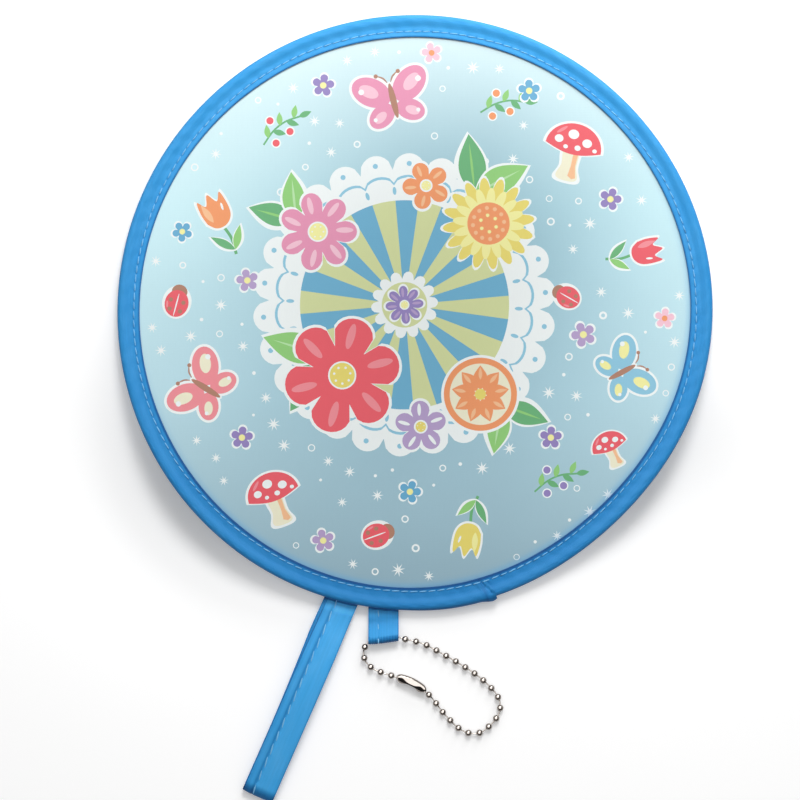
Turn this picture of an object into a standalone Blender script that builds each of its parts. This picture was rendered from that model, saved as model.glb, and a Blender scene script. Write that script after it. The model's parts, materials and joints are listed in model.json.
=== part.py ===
# A round pocket fan that twists and folds: printed cloth on a sprung steel hoop, a sewn tape rim,
# a wrist strap of looped tape, and a short tab whose fold carries a ball chain with its clasp.
# It lies on z = 0 with its printed face up. Lengths are in metres and the strap points to -Y.

import math

import bmesh
import bpy
from mathutils import Matrix, Vector

turn = 2 * math.pi

# The disc. Its hoop is pressed a little flat at the lower right.
disc_radius = 0.110
pressed_in = 0.0031
pressed_angle = math.radians(313)
pressed_spread = math.radians(30)
rim_sides = 72
crease_angle = math.radians(32)

# Gaps: between parts that touch, between a thread and its cloth, and inside a crimp
clearance = 0.0003
sewn_gap = 0.0001
crimp_gap = 0.0001

# Cloth, hoop and crimp sleeve
cloth_thickness = 0.00025
wire_breadth = 0.0006
wire_height = 0.0016
crimp_wall = 0.0003
crimp_slit = 0.0003
wire_depth = 0.0012
joint_angle = math.radians(280)
wire_end_gap = math.radians(0.7)
crimp_span = math.radians(5.6)

# Rim tape: a strip folded round the hoop, its ends covered by a lap piece
rim_width = 0.00827
rim_tape = 0.00035
rim_slope = 0.0011
nose_steps = 4
lap_span = math.radians(12)
lap_cover = math.radians(1.2)
lap_ramp = math.radians(1.2)
stitch_inset = 0.0022
thread_width = 0.00035
thread_height = 0.00025

# Tape of the strap and of the tab
leaf_thickness = 0.0005
tail_length = 0.0085
swing_down = math.radians(20)
stitch_share = -1 / 6

# Strap
strap_angle = math.radians(255.83)
strap_heading = math.radians(246.3)
strap_reach = 0.0786
strap_width = 0.0120
strap_arch = 0.0053
strap_nose = 0.0055
strap_skew = 0.0011
strap_arch_shares = (
    (0.00, 0.00), (0.04, 0.03), (0.12, 0.22), (0.22, 0.52), (0.34, 0.80),
    (0.48, 0.97), (0.62, 1.00), (0.76, 0.95), (0.88, 0.86), (1.00, 0.76),
)
strap_thread_start_share = 0.1

# Tab, whose folded end is the tunnel for the chain. It is sewn in a little beside the strap.
tab_heading = math.radians(270)
tab_reach = 0.0128
tab_width = 0.0112
tab_spacing = 0.00378
tab_angle = strap_angle + (strap_width / 2 + tab_spacing + tab_width / 2) / disc_radius
tab_slant = math.radians(6.5)
tab_neck_share = 0.42
tab_thread_start_share = 0.25
fold_steps = 6

# Ball chain: hollow balls on short links, each link fast in its own ball
bead_radius = 0.0012
bead_wall = 0.00025
bead_pitch = 0.00412
bead_sides = 8
hole_radius = 0.00034
link_radius = 0.00022
head_radius = 0.00038
head_reach = 0.00085
right_beads = 22
left_beads = 6
settle_beads = 3
bead_ring_shares = (0.2, 0.4, 0.6, 0.8)
cavity_ring_shares = (0.62, 0.3)

# The chain's way round from the tunnel's right end to its left end, in shares of the bead pitch
# from the tunnel's middle
chain_way_shares = (
    (2.00, -0.17), (3.52, -0.57), (5.22, -1.46), (6.97, -2.48), (8.62, -3.62), (9.95, -4.96),
    (10.32, -5.97), (10.15, -6.96), (8.86, -8.30), (7.80, -8.50), (6.80, -8.15), (5.38, -6.78),
    (4.05, -5.10), (2.60, -4.17), (0.70, -3.38), (-0.25, -3.08), (-1.12, -2.64), (-1.69, -1.86),
    (-1.66, -0.88),
)
way_steps = 24
scale_tries = 40

# Clasp: a bent channel, open at one side, that holds the chain's two end balls
clasp_wall = 0.0003
clasp_clearance = 0.00025
clasp_lip = 0.0009
clasp_seat_gap = 0.0006
clasp_spacing = 0.0075
clasp_run_out = 0.0009
clasp_chamfer = 0.0005
slot_half = 0.00045
cutter_overrun = 0.001

# Colours as linear red, green and blue, then roughness and metallic
print_look = ((0.56, 0.86, 0.89), 0.5, 0.0)
tape_look = ((0.05, 0.36, 0.76), 0.55, 0.0)
thread_look = ((0.16, 0.55, 0.87), 0.6, 0.0)
steel_look = ((0.55, 0.56, 0.58), 0.35, 1.0)
nickel_look = ((0.62, 0.58, 0.55), 0.2, 1.0)

# Heights that follow from the layers: two tape tails lie under the rim
rim_half = wire_height / 2 + clearance + rim_tape
hem_half = cloth_thickness / 2 + clearance + rim_tape
lower_leaf = leaf_thickness / 2
upper_leaf = lower_leaf + leaf_thickness + clearance
rim_middle = upper_leaf + leaf_thickness / 2 + clearance + rim_half

# How far inside the rim's edge the tails stop, clear of a tape that swings below the table
tail_start = rim_middle * math.sin(swing_down)

# Depths inward from the rim's outer edge
wire_inner = wire_depth + wire_breadth
crimp_depth = wire_depth - crimp_gap - crimp_wall
crimp_inner = wire_inner + crimp_gap + crimp_wall
cloth_depth = crimp_inner + clearance
shoulder_depth = wire_inner + clearance + rim_tape
stitch_depth = rim_width - stitch_inset

# The lap piece stands outside the rim tape by one layer and its gap
lap_lift = rim_tape + clearance
lap_start = joint_angle - lap_span / 2
lap_end = joint_angle + lap_span / 2

# Tunnel and chain sizes that follow
tunnel_radius = bead_radius + clearance
fold_radius = tunnel_radius + leaf_thickness / 2
tunnel_height = lower_leaf + fold_radius
tunnel_along = tab_reach - fold_radius - leaf_thickness / 2
cavity_radius = bead_radius - bead_wall
pivot_reach = bead_radius - bead_wall / 2
clasp_half = bead_radius + clasp_clearance + clasp_wall


def rim_radius(angle):
    away = (angle - pressed_angle + math.pi) % turn - math.pi
    return disc_radius - pressed_in * math.exp(-((away / pressed_spread) ** 2))


def on_rim(angle, depth, height):
    reach = rim_radius(angle) - depth
    return Vector((reach * math.cos(angle), reach * math.sin(angle), rim_middle + height))


def add_pivot(name, place, parent):
    # An empty on a joint's axis. Every offset is a plain shift, because no empty is turned.
    pivot = bpy.data.objects.new(name, None)
    bpy.context.collection.objects.link(pivot)
    pivot.empty_display_size = bead_pitch
    pivot.parent = parent
    pivot.location = place - place_of(parent)
    return pivot


def place_of(thing):
    place = Vector()
    while thing is not None:
        place += thing.location
        thing = thing.parent
    return place


def make_look(name, look):
    colour, roughness, metallic = look
    material = bpy.data.materials.new(name + "_finish")
    material.use_nodes = True
    shader = material.node_tree.nodes["Principled BSDF"]
    shader.inputs["Base Color"].default_value = (*colour, 1)
    shader.inputs["Roughness"].default_value = roughness
    shader.inputs["Metallic"].default_value = metallic
    return material


def add_piece(name, shape, look, parent, place=None):
    # The shape's points are given in the disc's frame; the piece's origin is set at place.
    place = place_of(parent) if place is None else place
    for vertex in shape.verts:
        vertex.co -= place
    mesh = bpy.data.meshes.new(name)
    shape.to_mesh(mesh)
    shape.free()
    mesh.materials.append(make_look(name, look))
    mesh.shade_smooth()
    mesh.set_sharp_from_angle(angle=crease_angle)
    piece = bpy.data.objects.new(name, mesh)
    bpy.context.collection.objects.link(piece)
    piece.parent = parent
    piece.location = place - place_of(parent)
    return piece


def loft(rings, closed=False):
    # A skin over rings of points. A ring of one point is a tip, and open ends are capped.
    shape = bmesh.new()
    loops = [[shape.verts.new(point) for point in ring] for ring in rings]
    pairs = list(zip(loops, loops[1:]))
    if closed:
        pairs.append((loops[-1], loops[0]))
    for near, far in pairs:
        count = max(len(near), len(far))
        for side in range(count):
            after = (side + 1) % count
            corners = (
                near[side % len(near)], near[after % len(near)],
                far[after % len(far)], far[side % len(far)],
            )
            shape.faces.new(list(dict.fromkeys(corners)))
    if not closed:
        for end in (loops[0], loops[-1]):
            if len(end) > 1:
                shape.faces.new(end)
    bmesh.ops.recalc_face_normals(shape, faces=shape.faces)
    return shape


def rim_stations(start, end):
    # Every piece of the rim bends at the same angles, so that neighbouring faces stay parallel.
    marks = [turn * side / rim_sides for side in range(rim_sides)]
    for edge in (lap_start, lap_end):
        marks += [edge, edge - lap_ramp, edge + lap_ramp]
    found = {round(start, 9), round(end, 9)}
    for mark in marks:
        for lap in (0, turn):
            if start < mark + lap < end:
                found.add(round(mark + lap, 9))
    return sorted(found)


def sweep_rim(section_at, start=0, end=turn):
    # Carries a section, given as depths and heights, round the rim from start to end.
    closed = end - start >= turn
    angles = rim_stations(start, end)
    if closed:
        angles.pop()
    rings = [[on_rim(angle, *point) for point in section_at(angle)] for angle in angles]
    return loft(rings, closed)


def box_section(depth, inner, low, high):
    return [(depth, low), (inner, low), (inner, high), (depth, high)]


def tape_section(lift):
    # A strip folded round the hoop: a round nose, a shoulder, and a flat hem on each face.
    def face(inside):
        offset = lift - inside
        nose = wire_depth + rim_tape
        points = [(rim_width, hem_half + offset), (shoulder_depth + rim_slope, hem_half + offset)]
        points.append((shoulder_depth, rim_half + offset))
        for step in range(nose_steps + 1):
            lean = math.pi / 2 - math.pi * step / nose_steps
            depth = nose - (nose + offset) * math.cos(lean)
            points.append((depth, (rim_half + offset) * math.sin(lean)))
        points += [(depth, -height) for depth, height in reversed(points[:3])]
        return points

    return face(0) + face(rim_tape)[::-1]


def lap_share(angle):
    # 1 over the lap piece, 0 beyond the ramps at its ends
    past = max(lap_start - angle % turn, angle % turn - lap_end)
    return 0 if past > lap_ramp / 2 else 1


def make_disc(fan):
    cloth = sweep_outline(cloth_depth, cloth_thickness)
    add_piece("fabric_panel", cloth, print_look, fan)

    wire = box_section(wire_depth, wire_inner, -wire_height / 2, wire_height / 2)
    start = joint_angle + wire_end_gap / 2
    end = joint_angle + turn - wire_end_gap / 2
    add_piece("hoop_wire", sweep_rim(lambda angle: wire, start, end), steel_look, fan)

    outer_half = wire_height / 2 + crimp_gap + crimp_wall
    inner_half = wire_height / 2 + crimp_gap
    slit = crimp_slit / 2
    sleeve = [
        (crimp_inner, slit), (crimp_inner, outer_half), (crimp_depth, outer_half),
        (crimp_depth, -outer_half), (crimp_inner, -outer_half), (crimp_inner, -slit),
        (crimp_inner - crimp_wall, -slit), (crimp_inner - crimp_wall, -inner_half),
        (crimp_depth + crimp_wall, -inner_half), (crimp_depth + crimp_wall, inner_half),
        (crimp_inner - crimp_wall, inner_half), (crimp_inner - crimp_wall, slit),
    ]
    start = joint_angle - crimp_span / 2
    end = joint_angle + crimp_span / 2
    add_piece("hoop_ferrule", sweep_rim(lambda angle: sleeve, start, end), steel_look, fan)

    rim = tape_section(0)
    start = lap_end - lap_cover
    end = lap_start + lap_cover + turn
    add_piece("rim_binding", sweep_rim(lambda angle: rim, start, end), tape_look, fan)
    lap = tape_section(lap_lift)
    add_piece("binding_overlap", sweep_rim(lambda angle: lap, lap_start, lap_end), tape_look, fan)

    for name, side in (("front_thread", 1), ("back_thread", -1)):
        def section(angle, side=side):
            low = hem_half + sewn_gap + lap_lift * lap_share(angle)
            edges = (stitch_depth - thread_width / 2, stitch_depth + thread_width / 2)
            return box_section(*edges, side * low, side * (low + thread_height))
        add_piece(name, sweep_rim(section), thread_look, fan)


def sweep_outline(depth, thickness):
    # A flat plate that follows the rim's outline at this depth inside it
    angles = rim_stations(0, turn)[:-1]
    faces = [[on_rim(angle, depth, side * thickness / 2) for angle in angles] for side in (-1, 1)]
    return loft(faces)


class Tape:
    # A looped tape sewn under the rim. It is measured along its heading from the rim's edge,
    # across to its right, and up from the table.
    def __init__(self, angle, heading, slant, slant_reach):
        self.root = on_rim(angle, 0, 0)
        self.along = Vector((math.cos(heading), math.sin(heading), 0))
        self.across = Vector((-math.sin(heading), math.cos(heading), 0))
        self.slope = math.tan(slant) / slant_reach

    def point(self, along, across, height):
        along -= along * across * self.slope
        flat = self.root + self.along * along + self.across * across
        return Vector((flat.x, flat.y, height))

    def ribbon(self, path, low, high, left, right, first=0, last=None):
        # A strip along a path of (along, height, shift) points, from low to high on the side
        # that faces out of the loop and from left to right across it. It may keep only the
        # stretch of the path from the first point to the last.
        rings = []
        for index, (along, height, shift) in enumerate(path):
            before = path[max(index - 1, 0)]
            after = path[min(index + 1, len(path) - 1)]
            way = Vector((after[0] - before[0], after[1] - before[1])).normalized()
            out = Vector((way.y, -way.x))
            ring = []
            for offset, side in ((low, left), (low, right), (high, right), (high, left)):
                ring.append(
                    self.point(along + out.x * offset, shift + side, height + out.y * offset)
                )
            rings.append(ring)
        return loft(rings[first:last])


def add_tails(name, tape, width, shift, fan):
    for layer, height, offset in (("lower", lower_leaf, shift), ("upper", upper_leaf, 0)):
        path = [(-tail_start, height, offset), (-tail_length, height, offset)]
        half = leaf_thickness / 2
        strip = tape.ribbon(path, -half, half, -width / 2, width / 2)
        add_piece(f"{name}_tail_{layer}", strip, tape_look, fan)


def add_tape_loop(name, tape, path, width, thread_from, hinge):
    half = leaf_thickness / 2
    loop = tape.ribbon(path, -half, half, -width / 2, width / 2)
    add_piece(f"{name}_loop", loop, tape_look, hinge)
    # The stitches show on the upper leaf only, from near the rim to the turn at the far end.
    first = max(range(len(path)), key=lambda index: path[index][0])
    last = max(index for index in range(len(path)) if path[index][0] > thread_from) + 1
    low = half + sewn_gap
    middle = width * stitch_share
    edges = (middle - thread_width / 2, middle + thread_width / 2)
    thread = tape.ribbon(path, low, low + thread_height, *edges, first, last)
    add_piece(f"{name}_thread", thread, thread_look, hinge)


def make_strap(fan):
    tape = Tape(strap_angle, strap_heading, 0, strap_reach)
    hinge = add_pivot("strap_hinge", tape.root, fan)
    add_tails("strap", tape, strap_width, -strap_skew, fan)
    turn_at = strap_reach - leaf_thickness / 2 - strap_nose
    run = turn_at - clearance
    rise = strap_arch - upper_leaf
    path = [
        (clearance, lower_leaf, -strap_skew),
        (clearance + run / 3, lower_leaf, -strap_skew / 2),
        (clearance + run * 2 / 3, lower_leaf, 0),
        (turn_at, lower_leaf, 0),
    ]
    top = upper_leaf + rise * strap_arch_shares[-1][1]
    middle = (lower_leaf + top) / 2
    for step in range(1, fold_steps):
        lean = math.pi * step / fold_steps - math.pi / 2
        height = middle + (top - middle) * math.sin(lean)
        path.append((turn_at + strap_nose * math.cos(lean), height, 0))
    for share, height_share in reversed(strap_arch_shares):
        path.append((clearance + run * share, upper_leaf + rise * height_share, 0))
    add_tape_loop("strap", tape, path, strap_width, strap_reach * strap_thread_start_share, hinge)


def make_tab(fan):
    tape = Tape(tab_angle, tab_heading, tab_slant, tunnel_along)
    hinge = add_pivot("tab_hinge", tape.root, fan)
    add_tails("tab", tape, tab_width, 0, fan)
    neck = tab_reach * tab_neck_share
    path = [(clearance, lower_leaf, 0), (neck, lower_leaf, 0)]
    for step in range(fold_steps + 2):
        lean = math.pi * step / fold_steps - math.pi / 2
        along = tunnel_along + fold_radius * math.cos(lean)
        path.append((along, tunnel_height + fold_radius * math.sin(lean), 0))
    path += [(neck, upper_leaf, 0), (clearance, upper_leaf, 0)]
    add_tape_loop("tab", tape, path, tab_width, tab_reach * tab_thread_start_share, hinge)
    return hinge, tape


def smooth_way(points):
    # A smooth curve through the points, as a fine row of places on it
    ends = [2 * points[0] - points[1], *points, 2 * points[-1] - points[-2]]
    way = []
    for index in range(len(points) - 1):
        before, here, there, after = ends[index:index + 4]
        for step in range(way_steps):
            share = step / way_steps
            bend = (2 * before - 5 * here + 4 * there - after) * share ** 2
            twist = (3 * here - before - 3 * there + after) * share ** 3
            way.append(here + ((there - before) * share + bend + twist) / 2)
    way.append(points[-1])
    return way


def beads_along(way, count):
    # Places on the way, one straight bead pitch after another
    places = [way[0]]
    index = 1
    while len(places) < count + 1:
        here = places[-1]
        while (way[index] - here).length < bead_pitch:
            index += 1
        back, ahead = way[index - 1], way[index]
        near, far = 0, 1
        for _ in range(scale_tries):
            middle = (near + far) / 2
            if (back.lerp(ahead, middle) - here).length < bead_pitch:
                near = middle
            else:
                far = middle
        places.append(back.lerp(ahead, near))
    return places


def lay_chain(middle, along):
    # Both runs of beads, from the tunnel's ends to the clasp. The way is scaled until the two
    # end balls stand as far apart as their seats in the clasp.
    small, large = 0.5, 1.5
    for _ in range(scale_tries):
        scale = (small + large) / 2
        points = [middle + along * bead_pitch]
        points += [middle + Vector((x, y, 0)) * (scale * bead_pitch) for x, y in chain_way_shares]
        points += [middle - along * bead_pitch]
        way = smooth_way(points)
        right = beads_along(way, right_beads)
        left = beads_along(way[::-1], left_beads)
        if (right[-1] - left[-1]).length < clasp_spacing:
            small = scale
        else:
            large = scale
    for run in (right, left):
        last = len(run) - 1
        for index, place in enumerate(run):
            place.z = bead_radius
            for steps, height in ((index, tunnel_height), (last - index, clasp_half)):
                share = max(0, 1 - steps / settle_beads)
                place.z += (height - bead_radius) * share * share * (3 - 2 * share)
    return right, left


def ring(centre, axis, radius):
    # Points round an axis, the first to its left and the second one up from there
    side = Vector((-axis.y, axis.x, 0)).normalized()
    up = axis.cross(side)
    points = []
    for step in range(bead_sides):
        lean = turn * step / bead_sides
        points.append(centre + radius * (side * math.cos(lean) + up * math.sin(lean)))
    return points


def ball_ring(centre, axis, ball, lean):
    return ring(centre - axis * ball * math.cos(lean), axis, ball * math.sin(lean))


def linked_bead(centre, axis, hole):
    # A hollow ball with its hole ahead, and behind it the link that reaches through the hole
    # of the ball before, where its head is caught.
    behind = centre - axis * bead_radius
    way = (behind - hole).normalized()
    head = hole - way * head_reach
    rings = [[head - way * head_radius], ring(head, way, head_radius)]
    rings.append(ring(head + way * head_radius, way, link_radius))
    rings.append(ball_ring(centre, axis, bead_radius, math.asin(link_radius / bead_radius)))
    rings += [ball_ring(centre, axis, bead_radius, math.pi * share) for share in bead_ring_shares]
    for ball in (bead_radius, cavity_radius):
        rings.append(ball_ring(centre, axis, ball, math.pi - math.asin(hole_radius / ball)))
    rings += [
        ball_ring(centre, axis, cavity_radius, math.pi * share) for share in cavity_ring_shares
    ]
    rings.append([centre - axis * cavity_radius])
    return loft(rings)


def open_bead(centre, axis):
    # The ball in the middle of the tunnel has a hole at each end and no link of its own.
    rings = []
    for ball, shares in (
        (bead_radius, bead_ring_shares), (cavity_radius, cavity_ring_shares)
    ):
        edge = math.asin(hole_radius / ball)
        leans = [edge, *(math.pi * share for share in sorted(shares)), math.pi - edge]
        if ball == cavity_radius:
            leans.reverse()
        rings += [ball_ring(centre, axis, ball, lean) for lean in leans]
    return loft(rings, closed=True)


def add_run(run, names, first, parent):
    # One run of beads from the open bead outwards. Each bead's origin is the hole that its link
    # turns in. The first bead shares the open bead's body, and the rest turn one on another.
    places = [first, *run]
    axis = (run[0] - first).normalized()
    beads = []
    for index, name in enumerate(names):
        centre = places[index + 1]
        hole = places[index] + axis * pivot_reach
        ahead = places[min(index + 2, len(places) - 1)]
        inward = (centre - places[index]).normalized()
        onward = (ahead - centre).normalized() if ahead != centre else inward
        axis = (inward + onward).normalized()
        shape = linked_bead(centre, axis, hole)
        parent = add_piece(name, shape, nickel_look, parent, hole)
        beads.append(parent)
    return beads


def add_clasp(seat, far_seat, parent):
    # The channel stands round the end ball of the left run and opens away from the loop.
    along = (far_seat - seat).normalized()
    back = Vector((-along.y, along.x, 0))
    frame = Matrix((along, back, Vector((0, 0, 1)))).transposed()
    near = -(bead_radius + clasp_seat_gap)
    far = clasp_spacing + bead_radius + clasp_run_out
    inner_half = clasp_half - clasp_wall
    section = [
        (-clasp_lip, -clasp_half), (clasp_half - clasp_chamfer, -clasp_half),
        (clasp_half, clasp_chamfer - clasp_half), (clasp_half, clasp_half - clasp_chamfer),
        (clasp_half - clasp_chamfer, clasp_half), (-clasp_lip, clasp_half),
    ]
    ends = (near - clasp_wall, far + clasp_wall)
    body = loft([[seat + frame @ Vector((end, *point)) for point in section] for end in ends])
    clasp = add_piece("chain_connector", body, nickel_look, parent, seat)
    open_edge = -clasp_lip - cutter_overrun
    cuts = (
        ("clasp_hollow", (near, far), (open_edge, inner_half), (-inner_half, inner_half)),
        (
            "clasp_slots", (ends[0] - cutter_overrun, ends[1] + cutter_overrun),
            (open_edge, slot_half), (-slot_half, slot_half),
        ),
    )
    for name, (start, end), (low, high), (bottom, top) in cuts:
        corners = [(low, bottom), (high, bottom), (high, top), (low, top)]
        rings = [[seat + frame @ Vector((at, *point)) for point in corners] for at in (start, end)]
        cutter = add_piece(name, loft(rings), nickel_look, parent, seat)
        cutter.hide_render = True
        cutter.display_type = "WIRE"
        cut = clasp.modifiers.new(name, "BOOLEAN")
        cut.operation = "DIFFERENCE"
        cut.object = cutter
    return clasp


def make_chain(tab_hinge, tape):
    middle = tape.point(tunnel_along, 0, tunnel_height)
    side = tape.point(tunnel_along, tab_width, tunnel_height)
    along = (side - middle).normalized()
    tunnel = add_pivot("chain_pivot", middle, tab_hinge)
    right, left = lay_chain(middle, along)
    add_piece("bead_tunnel_middle", open_bead(middle, along), nickel_look, tunnel)
    runs = []
    for side, run in (("right", right), ("left", left)):
        names = [f"bead_tunnel_{side}"]
        names += [f"bead_{side}_{number:02d}" for number in range(1, len(run))]
        runs.append(add_run(run, names, middle, tunnel))
    add_clasp(left[-1], right[-1], runs[1][-1])


def stand_at_origin(fan):
    # The frame's origin is the middle of the box round the fan, on the table.
    bpy.context.view_layer.update()
    corners = []
    for piece in bpy.context.collection.objects:
        if piece.type == "MESH" and not piece.hide_render:
            corners += [piece.matrix_world @ vertex.co for vertex in piece.data.vertices]
    low = Vector(min(corner[axis] for corner in corners) for axis in range(3))
    high = Vector(max(corner[axis] for corner in corners) for axis in range(3))
    fan.location = Vector((-(low.x + high.x) / 2, -(low.y + high.y) / 2, -low.z))


def make_fan():
    for thing in list(bpy.data.objects):
        bpy.data.objects.remove(thing, do_unlink=True)
    fan = add_pivot("fan", Vector(), None)
    make_disc(fan)
    make_strap(fan)
    tab_hinge, tape = make_tab(fan)
    make_chain(tab_hinge, tape)
    stand_at_origin(fan)


make_fan()
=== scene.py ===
# Round pocket fan: printed satin on a steel hoop, sewn tape rim, wrist strap, tab and ball chain.
import json
import random
from math import asin, cos, exp, hypot, pi, radians, sin, sqrt, tan

import bmesh
import bpy
import numpy as np
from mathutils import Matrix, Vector
from mathutils.geometry import delaunay_2d_cdt


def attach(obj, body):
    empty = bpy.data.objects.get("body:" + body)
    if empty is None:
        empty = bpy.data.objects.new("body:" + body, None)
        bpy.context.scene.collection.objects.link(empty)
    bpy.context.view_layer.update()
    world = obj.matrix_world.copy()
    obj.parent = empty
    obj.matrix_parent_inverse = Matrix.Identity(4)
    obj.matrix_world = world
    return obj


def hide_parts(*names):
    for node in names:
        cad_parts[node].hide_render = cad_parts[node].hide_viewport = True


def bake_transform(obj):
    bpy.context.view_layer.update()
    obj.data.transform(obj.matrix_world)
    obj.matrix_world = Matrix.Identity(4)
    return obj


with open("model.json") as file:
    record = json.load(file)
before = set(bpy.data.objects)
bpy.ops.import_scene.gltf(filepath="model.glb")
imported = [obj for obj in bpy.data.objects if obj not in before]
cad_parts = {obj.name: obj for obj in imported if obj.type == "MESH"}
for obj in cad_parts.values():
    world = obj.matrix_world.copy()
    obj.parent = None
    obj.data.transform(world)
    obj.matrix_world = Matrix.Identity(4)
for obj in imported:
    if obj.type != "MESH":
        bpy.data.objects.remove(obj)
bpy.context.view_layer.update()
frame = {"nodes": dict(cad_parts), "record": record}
fullTurn = 2 * pi

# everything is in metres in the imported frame, and the print is drawn in millimetres
disc = {
    "middle": (0.0001332, 0.0354782), "height": 0.00305, "radius": 0.110,
    "pressedIn": 0.0031, "pressedAngle": radians(313), "pressedSpread": radians(30),
}


def ease(value):
    value = np.clip(value, 0, 1)
    return value * value * (3 - 2 * value)


def bell(away, width):
    return np.exp(-((away / width) ** 2))


def unit(ways):
    return ways / np.linalg.norm(ways, axis=-1, keepdims=True)


def rimRadius(angle):
    away = (angle - disc["pressedAngle"] + pi) % fullTurn - pi
    return disc["radius"] - disc["pressedIn"] * bell(away, disc["pressedSpread"])


def onRim(angle, depth, height):
    # depth is measured inwards from the rim's edge, height from the hoop
    reach = rimRadius(angle) - depth
    x = disc["middle"][0] + reach * np.cos(angle)
    y = disc["middle"][1] + reach * np.sin(angle)
    return np.stack(np.broadcast_arrays(x, y, disc["height"] + height), axis=-1)


def addObject(name, data):
    thing = bpy.data.objects.new(name, data)
    bpy.context.scene.collection.objects.link(thing)
    return thing


view = {
    "over": (-0.00553, 0.00336), "height": 0.703, "covers": 0.2953, "sensor": 36.0, "clip": 0.01,
}


def placeCamera():
    lens = bpy.data.cameras.new("photoCamera")
    lens.sensor_width = view["sensor"]
    lens.lens = view["sensor"] * (view["height"] - disc["height"]) / view["covers"]
    lens.clip_start = view["clip"]
    camera = addObject("photoCamera", lens)
    camera.location = (*view["over"], view["height"])
    bpy.context.scene.camera = camera


placeCamera()
print("camera placed")


# material tools
def tint(code):
    # a colour as it shows on screen, made linear
    parts = [int(code[i:i + 2], 16) / 255 for i in (0, 2, 4)]
    return tuple(p / 12.92 if p <= 0.04045 else ((p + 0.055) / 1.055) ** 2.4 for p in parts)


class Value:
    # one socket's output, so that sums on it read as plain maths
    def __init__(self, look, socket):
        self.look = look
        self.socket = socket

    def __add__(self, other):
        return self.look.maths("ADD", self, other)

    def __radd__(self, other):
        return self.look.maths("ADD", other, self)

    def __sub__(self, other):
        return self.look.maths("SUBTRACT", self, other)

    def __rsub__(self, other):
        return self.look.maths("SUBTRACT", other, self)

    def __mul__(self, other):
        return self.look.maths("MULTIPLY", self, other)

    def __rmul__(self, other):
        return self.look.maths("MULTIPLY", other, self)

    def __pow__(self, other):
        return self.look.maths("POWER", self, other)


def pick(sockets, key):
    return sockets[key] if isinstance(key, int) else next(
        s for s in sockets if key in (s.identifier, s.name))


class Wiring:
    # the nodes of one material or of the world
    def __init__(self, owner):
        owner.use_nodes = True
        self.nodes = owner.node_tree.nodes
        self.links = owner.node_tree.links

    def fill(self, node, inputs):
        for key, value in inputs.items():
            socket = pick(node.inputs, key)
            if isinstance(value, Value):
                self.links.new(value.socket, socket)
            elif socket.type == "RGBA" and len(value) == 3:
                socket.default_value = (*value, 1)
            else:
                socket.default_value = value

    def add(self, kind, settings=None, inputs=None, output=0):
        node = self.nodes.new(kind)
        for key, value in (settings or {}).items():
            if key != "stops":
                setattr(node, key, value)
                continue
            ramp = node.color_ramp.elements
            while len(ramp) < len(value):
                ramp.new(0.5)
            for stop, (place, colour) in zip(ramp, value):
                stop.position = place
                stop.color = (*colour, 1)
        self.fill(node, inputs or {})
        return Value(self, pick(node.outputs, output))

    def maths(self, operation, *values):
        return self.add("ShaderNodeMath", {"operation": operation}, dict(enumerate(values)))

    def mix(self, share, first, second, blend="MIX"):
        return self.add(
            "ShaderNodeMix", {"data_type": "RGBA", "blend_type": blend},
            {"Factor_Float": share, "A_Color": first, "B_Color": second}, "Result_Color")

    def place(self):
        return self.add("ShaderNodeTexCoord", output="Object")

    def own(self, name, output="Fac"):
        return self.add("ShaderNodeAttribute", {"attribute_name": name}, output=output)

    def noise(self, where, scale, detail=2.0, roughness=0.5, stretch=None):
        if stretch:
            where = self.scaled(where, stretch)
        return self.add("ShaderNodeTexNoise", {}, {
            "Vector": where, "Scale": scale, "Detail": detail, "Roughness": roughness})

    def scaled(self, where, by):
        return self.add("ShaderNodeVectorMath", {"operation": "MULTIPLY"}, {0: where, 1: by})

    def shades(self, *parts):
        # a colour put together from three numbers
        return self.add("ShaderNodeCombineColor", {}, dict(enumerate(parts)))

    def height(self, where):
        return self.add("ShaderNodeSeparateXYZ", {}, {0: where}, "Z")

    def ramp(self, where, *stops):
        return self.add("ShaderNodeValToRGB", {"stops": stops}, {0: where})

    def waves(self, where, scale, direction="X", bend=0.0):
        return self.add("ShaderNodeTexWave", {"bands_direction": direction}, {
            "Vector": where, "Scale": scale, "Distortion": bend, "Detail": 1.0}, "Fac")

    def bump(self, height, strength, distance):
        return self.add("ShaderNodeBump", {}, {
            "Height": height, "Strength": strength, "Distance": distance})

    def ray(self, kind):
        return self.add("ShaderNodeLightPath", output=f"Is {kind} Ray")

    def glow(self, kind, colour, strength):
        return self.add("ShaderNode" + kind, {}, {"Color": colour, "Strength": strength})

    def show(self, share, first, second, output):
        # two shaders mixed, as what the material or the world shows
        both = self.add("ShaderNodeMixShader", {}, {0: share, 1: first, 2: second})
        self.links.new(both.socket, self.nodes[output].inputs["Surface"])


class Look(Wiring):
    # a material on one Principled shader; constants go on its own sockets
    def __init__(self, name, **fixed):
        self.material = bpy.data.materials.new(name)
        super().__init__(self.material)
        self.shader = self.nodes["Principled BSDF"]
        self.finish(**fixed)

    def finish(self, **values):
        self.fill(self.shader, {name.replace("_", " "): value for name, value in values.items()})
        return self.material


# mesh tools
def addPiece(name, points, faces, material):
    mesh = bpy.data.meshes.new(name)
    mesh.from_pydata(points.tolist(), [], faces)
    mesh.materials.append(material)
    mesh.shade_smooth()
    return addObject(name, mesh)


def settle(shape, mesh, sharp):
    # faces turned outwards, and edges kept hard past an angle in degrees
    bmesh.ops.recalc_face_normals(shape, faces=shape.faces)
    shape.to_mesh(mesh)
    shape.free()
    mesh.set_sharp_from_angle(angle=radians(sharp))


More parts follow.
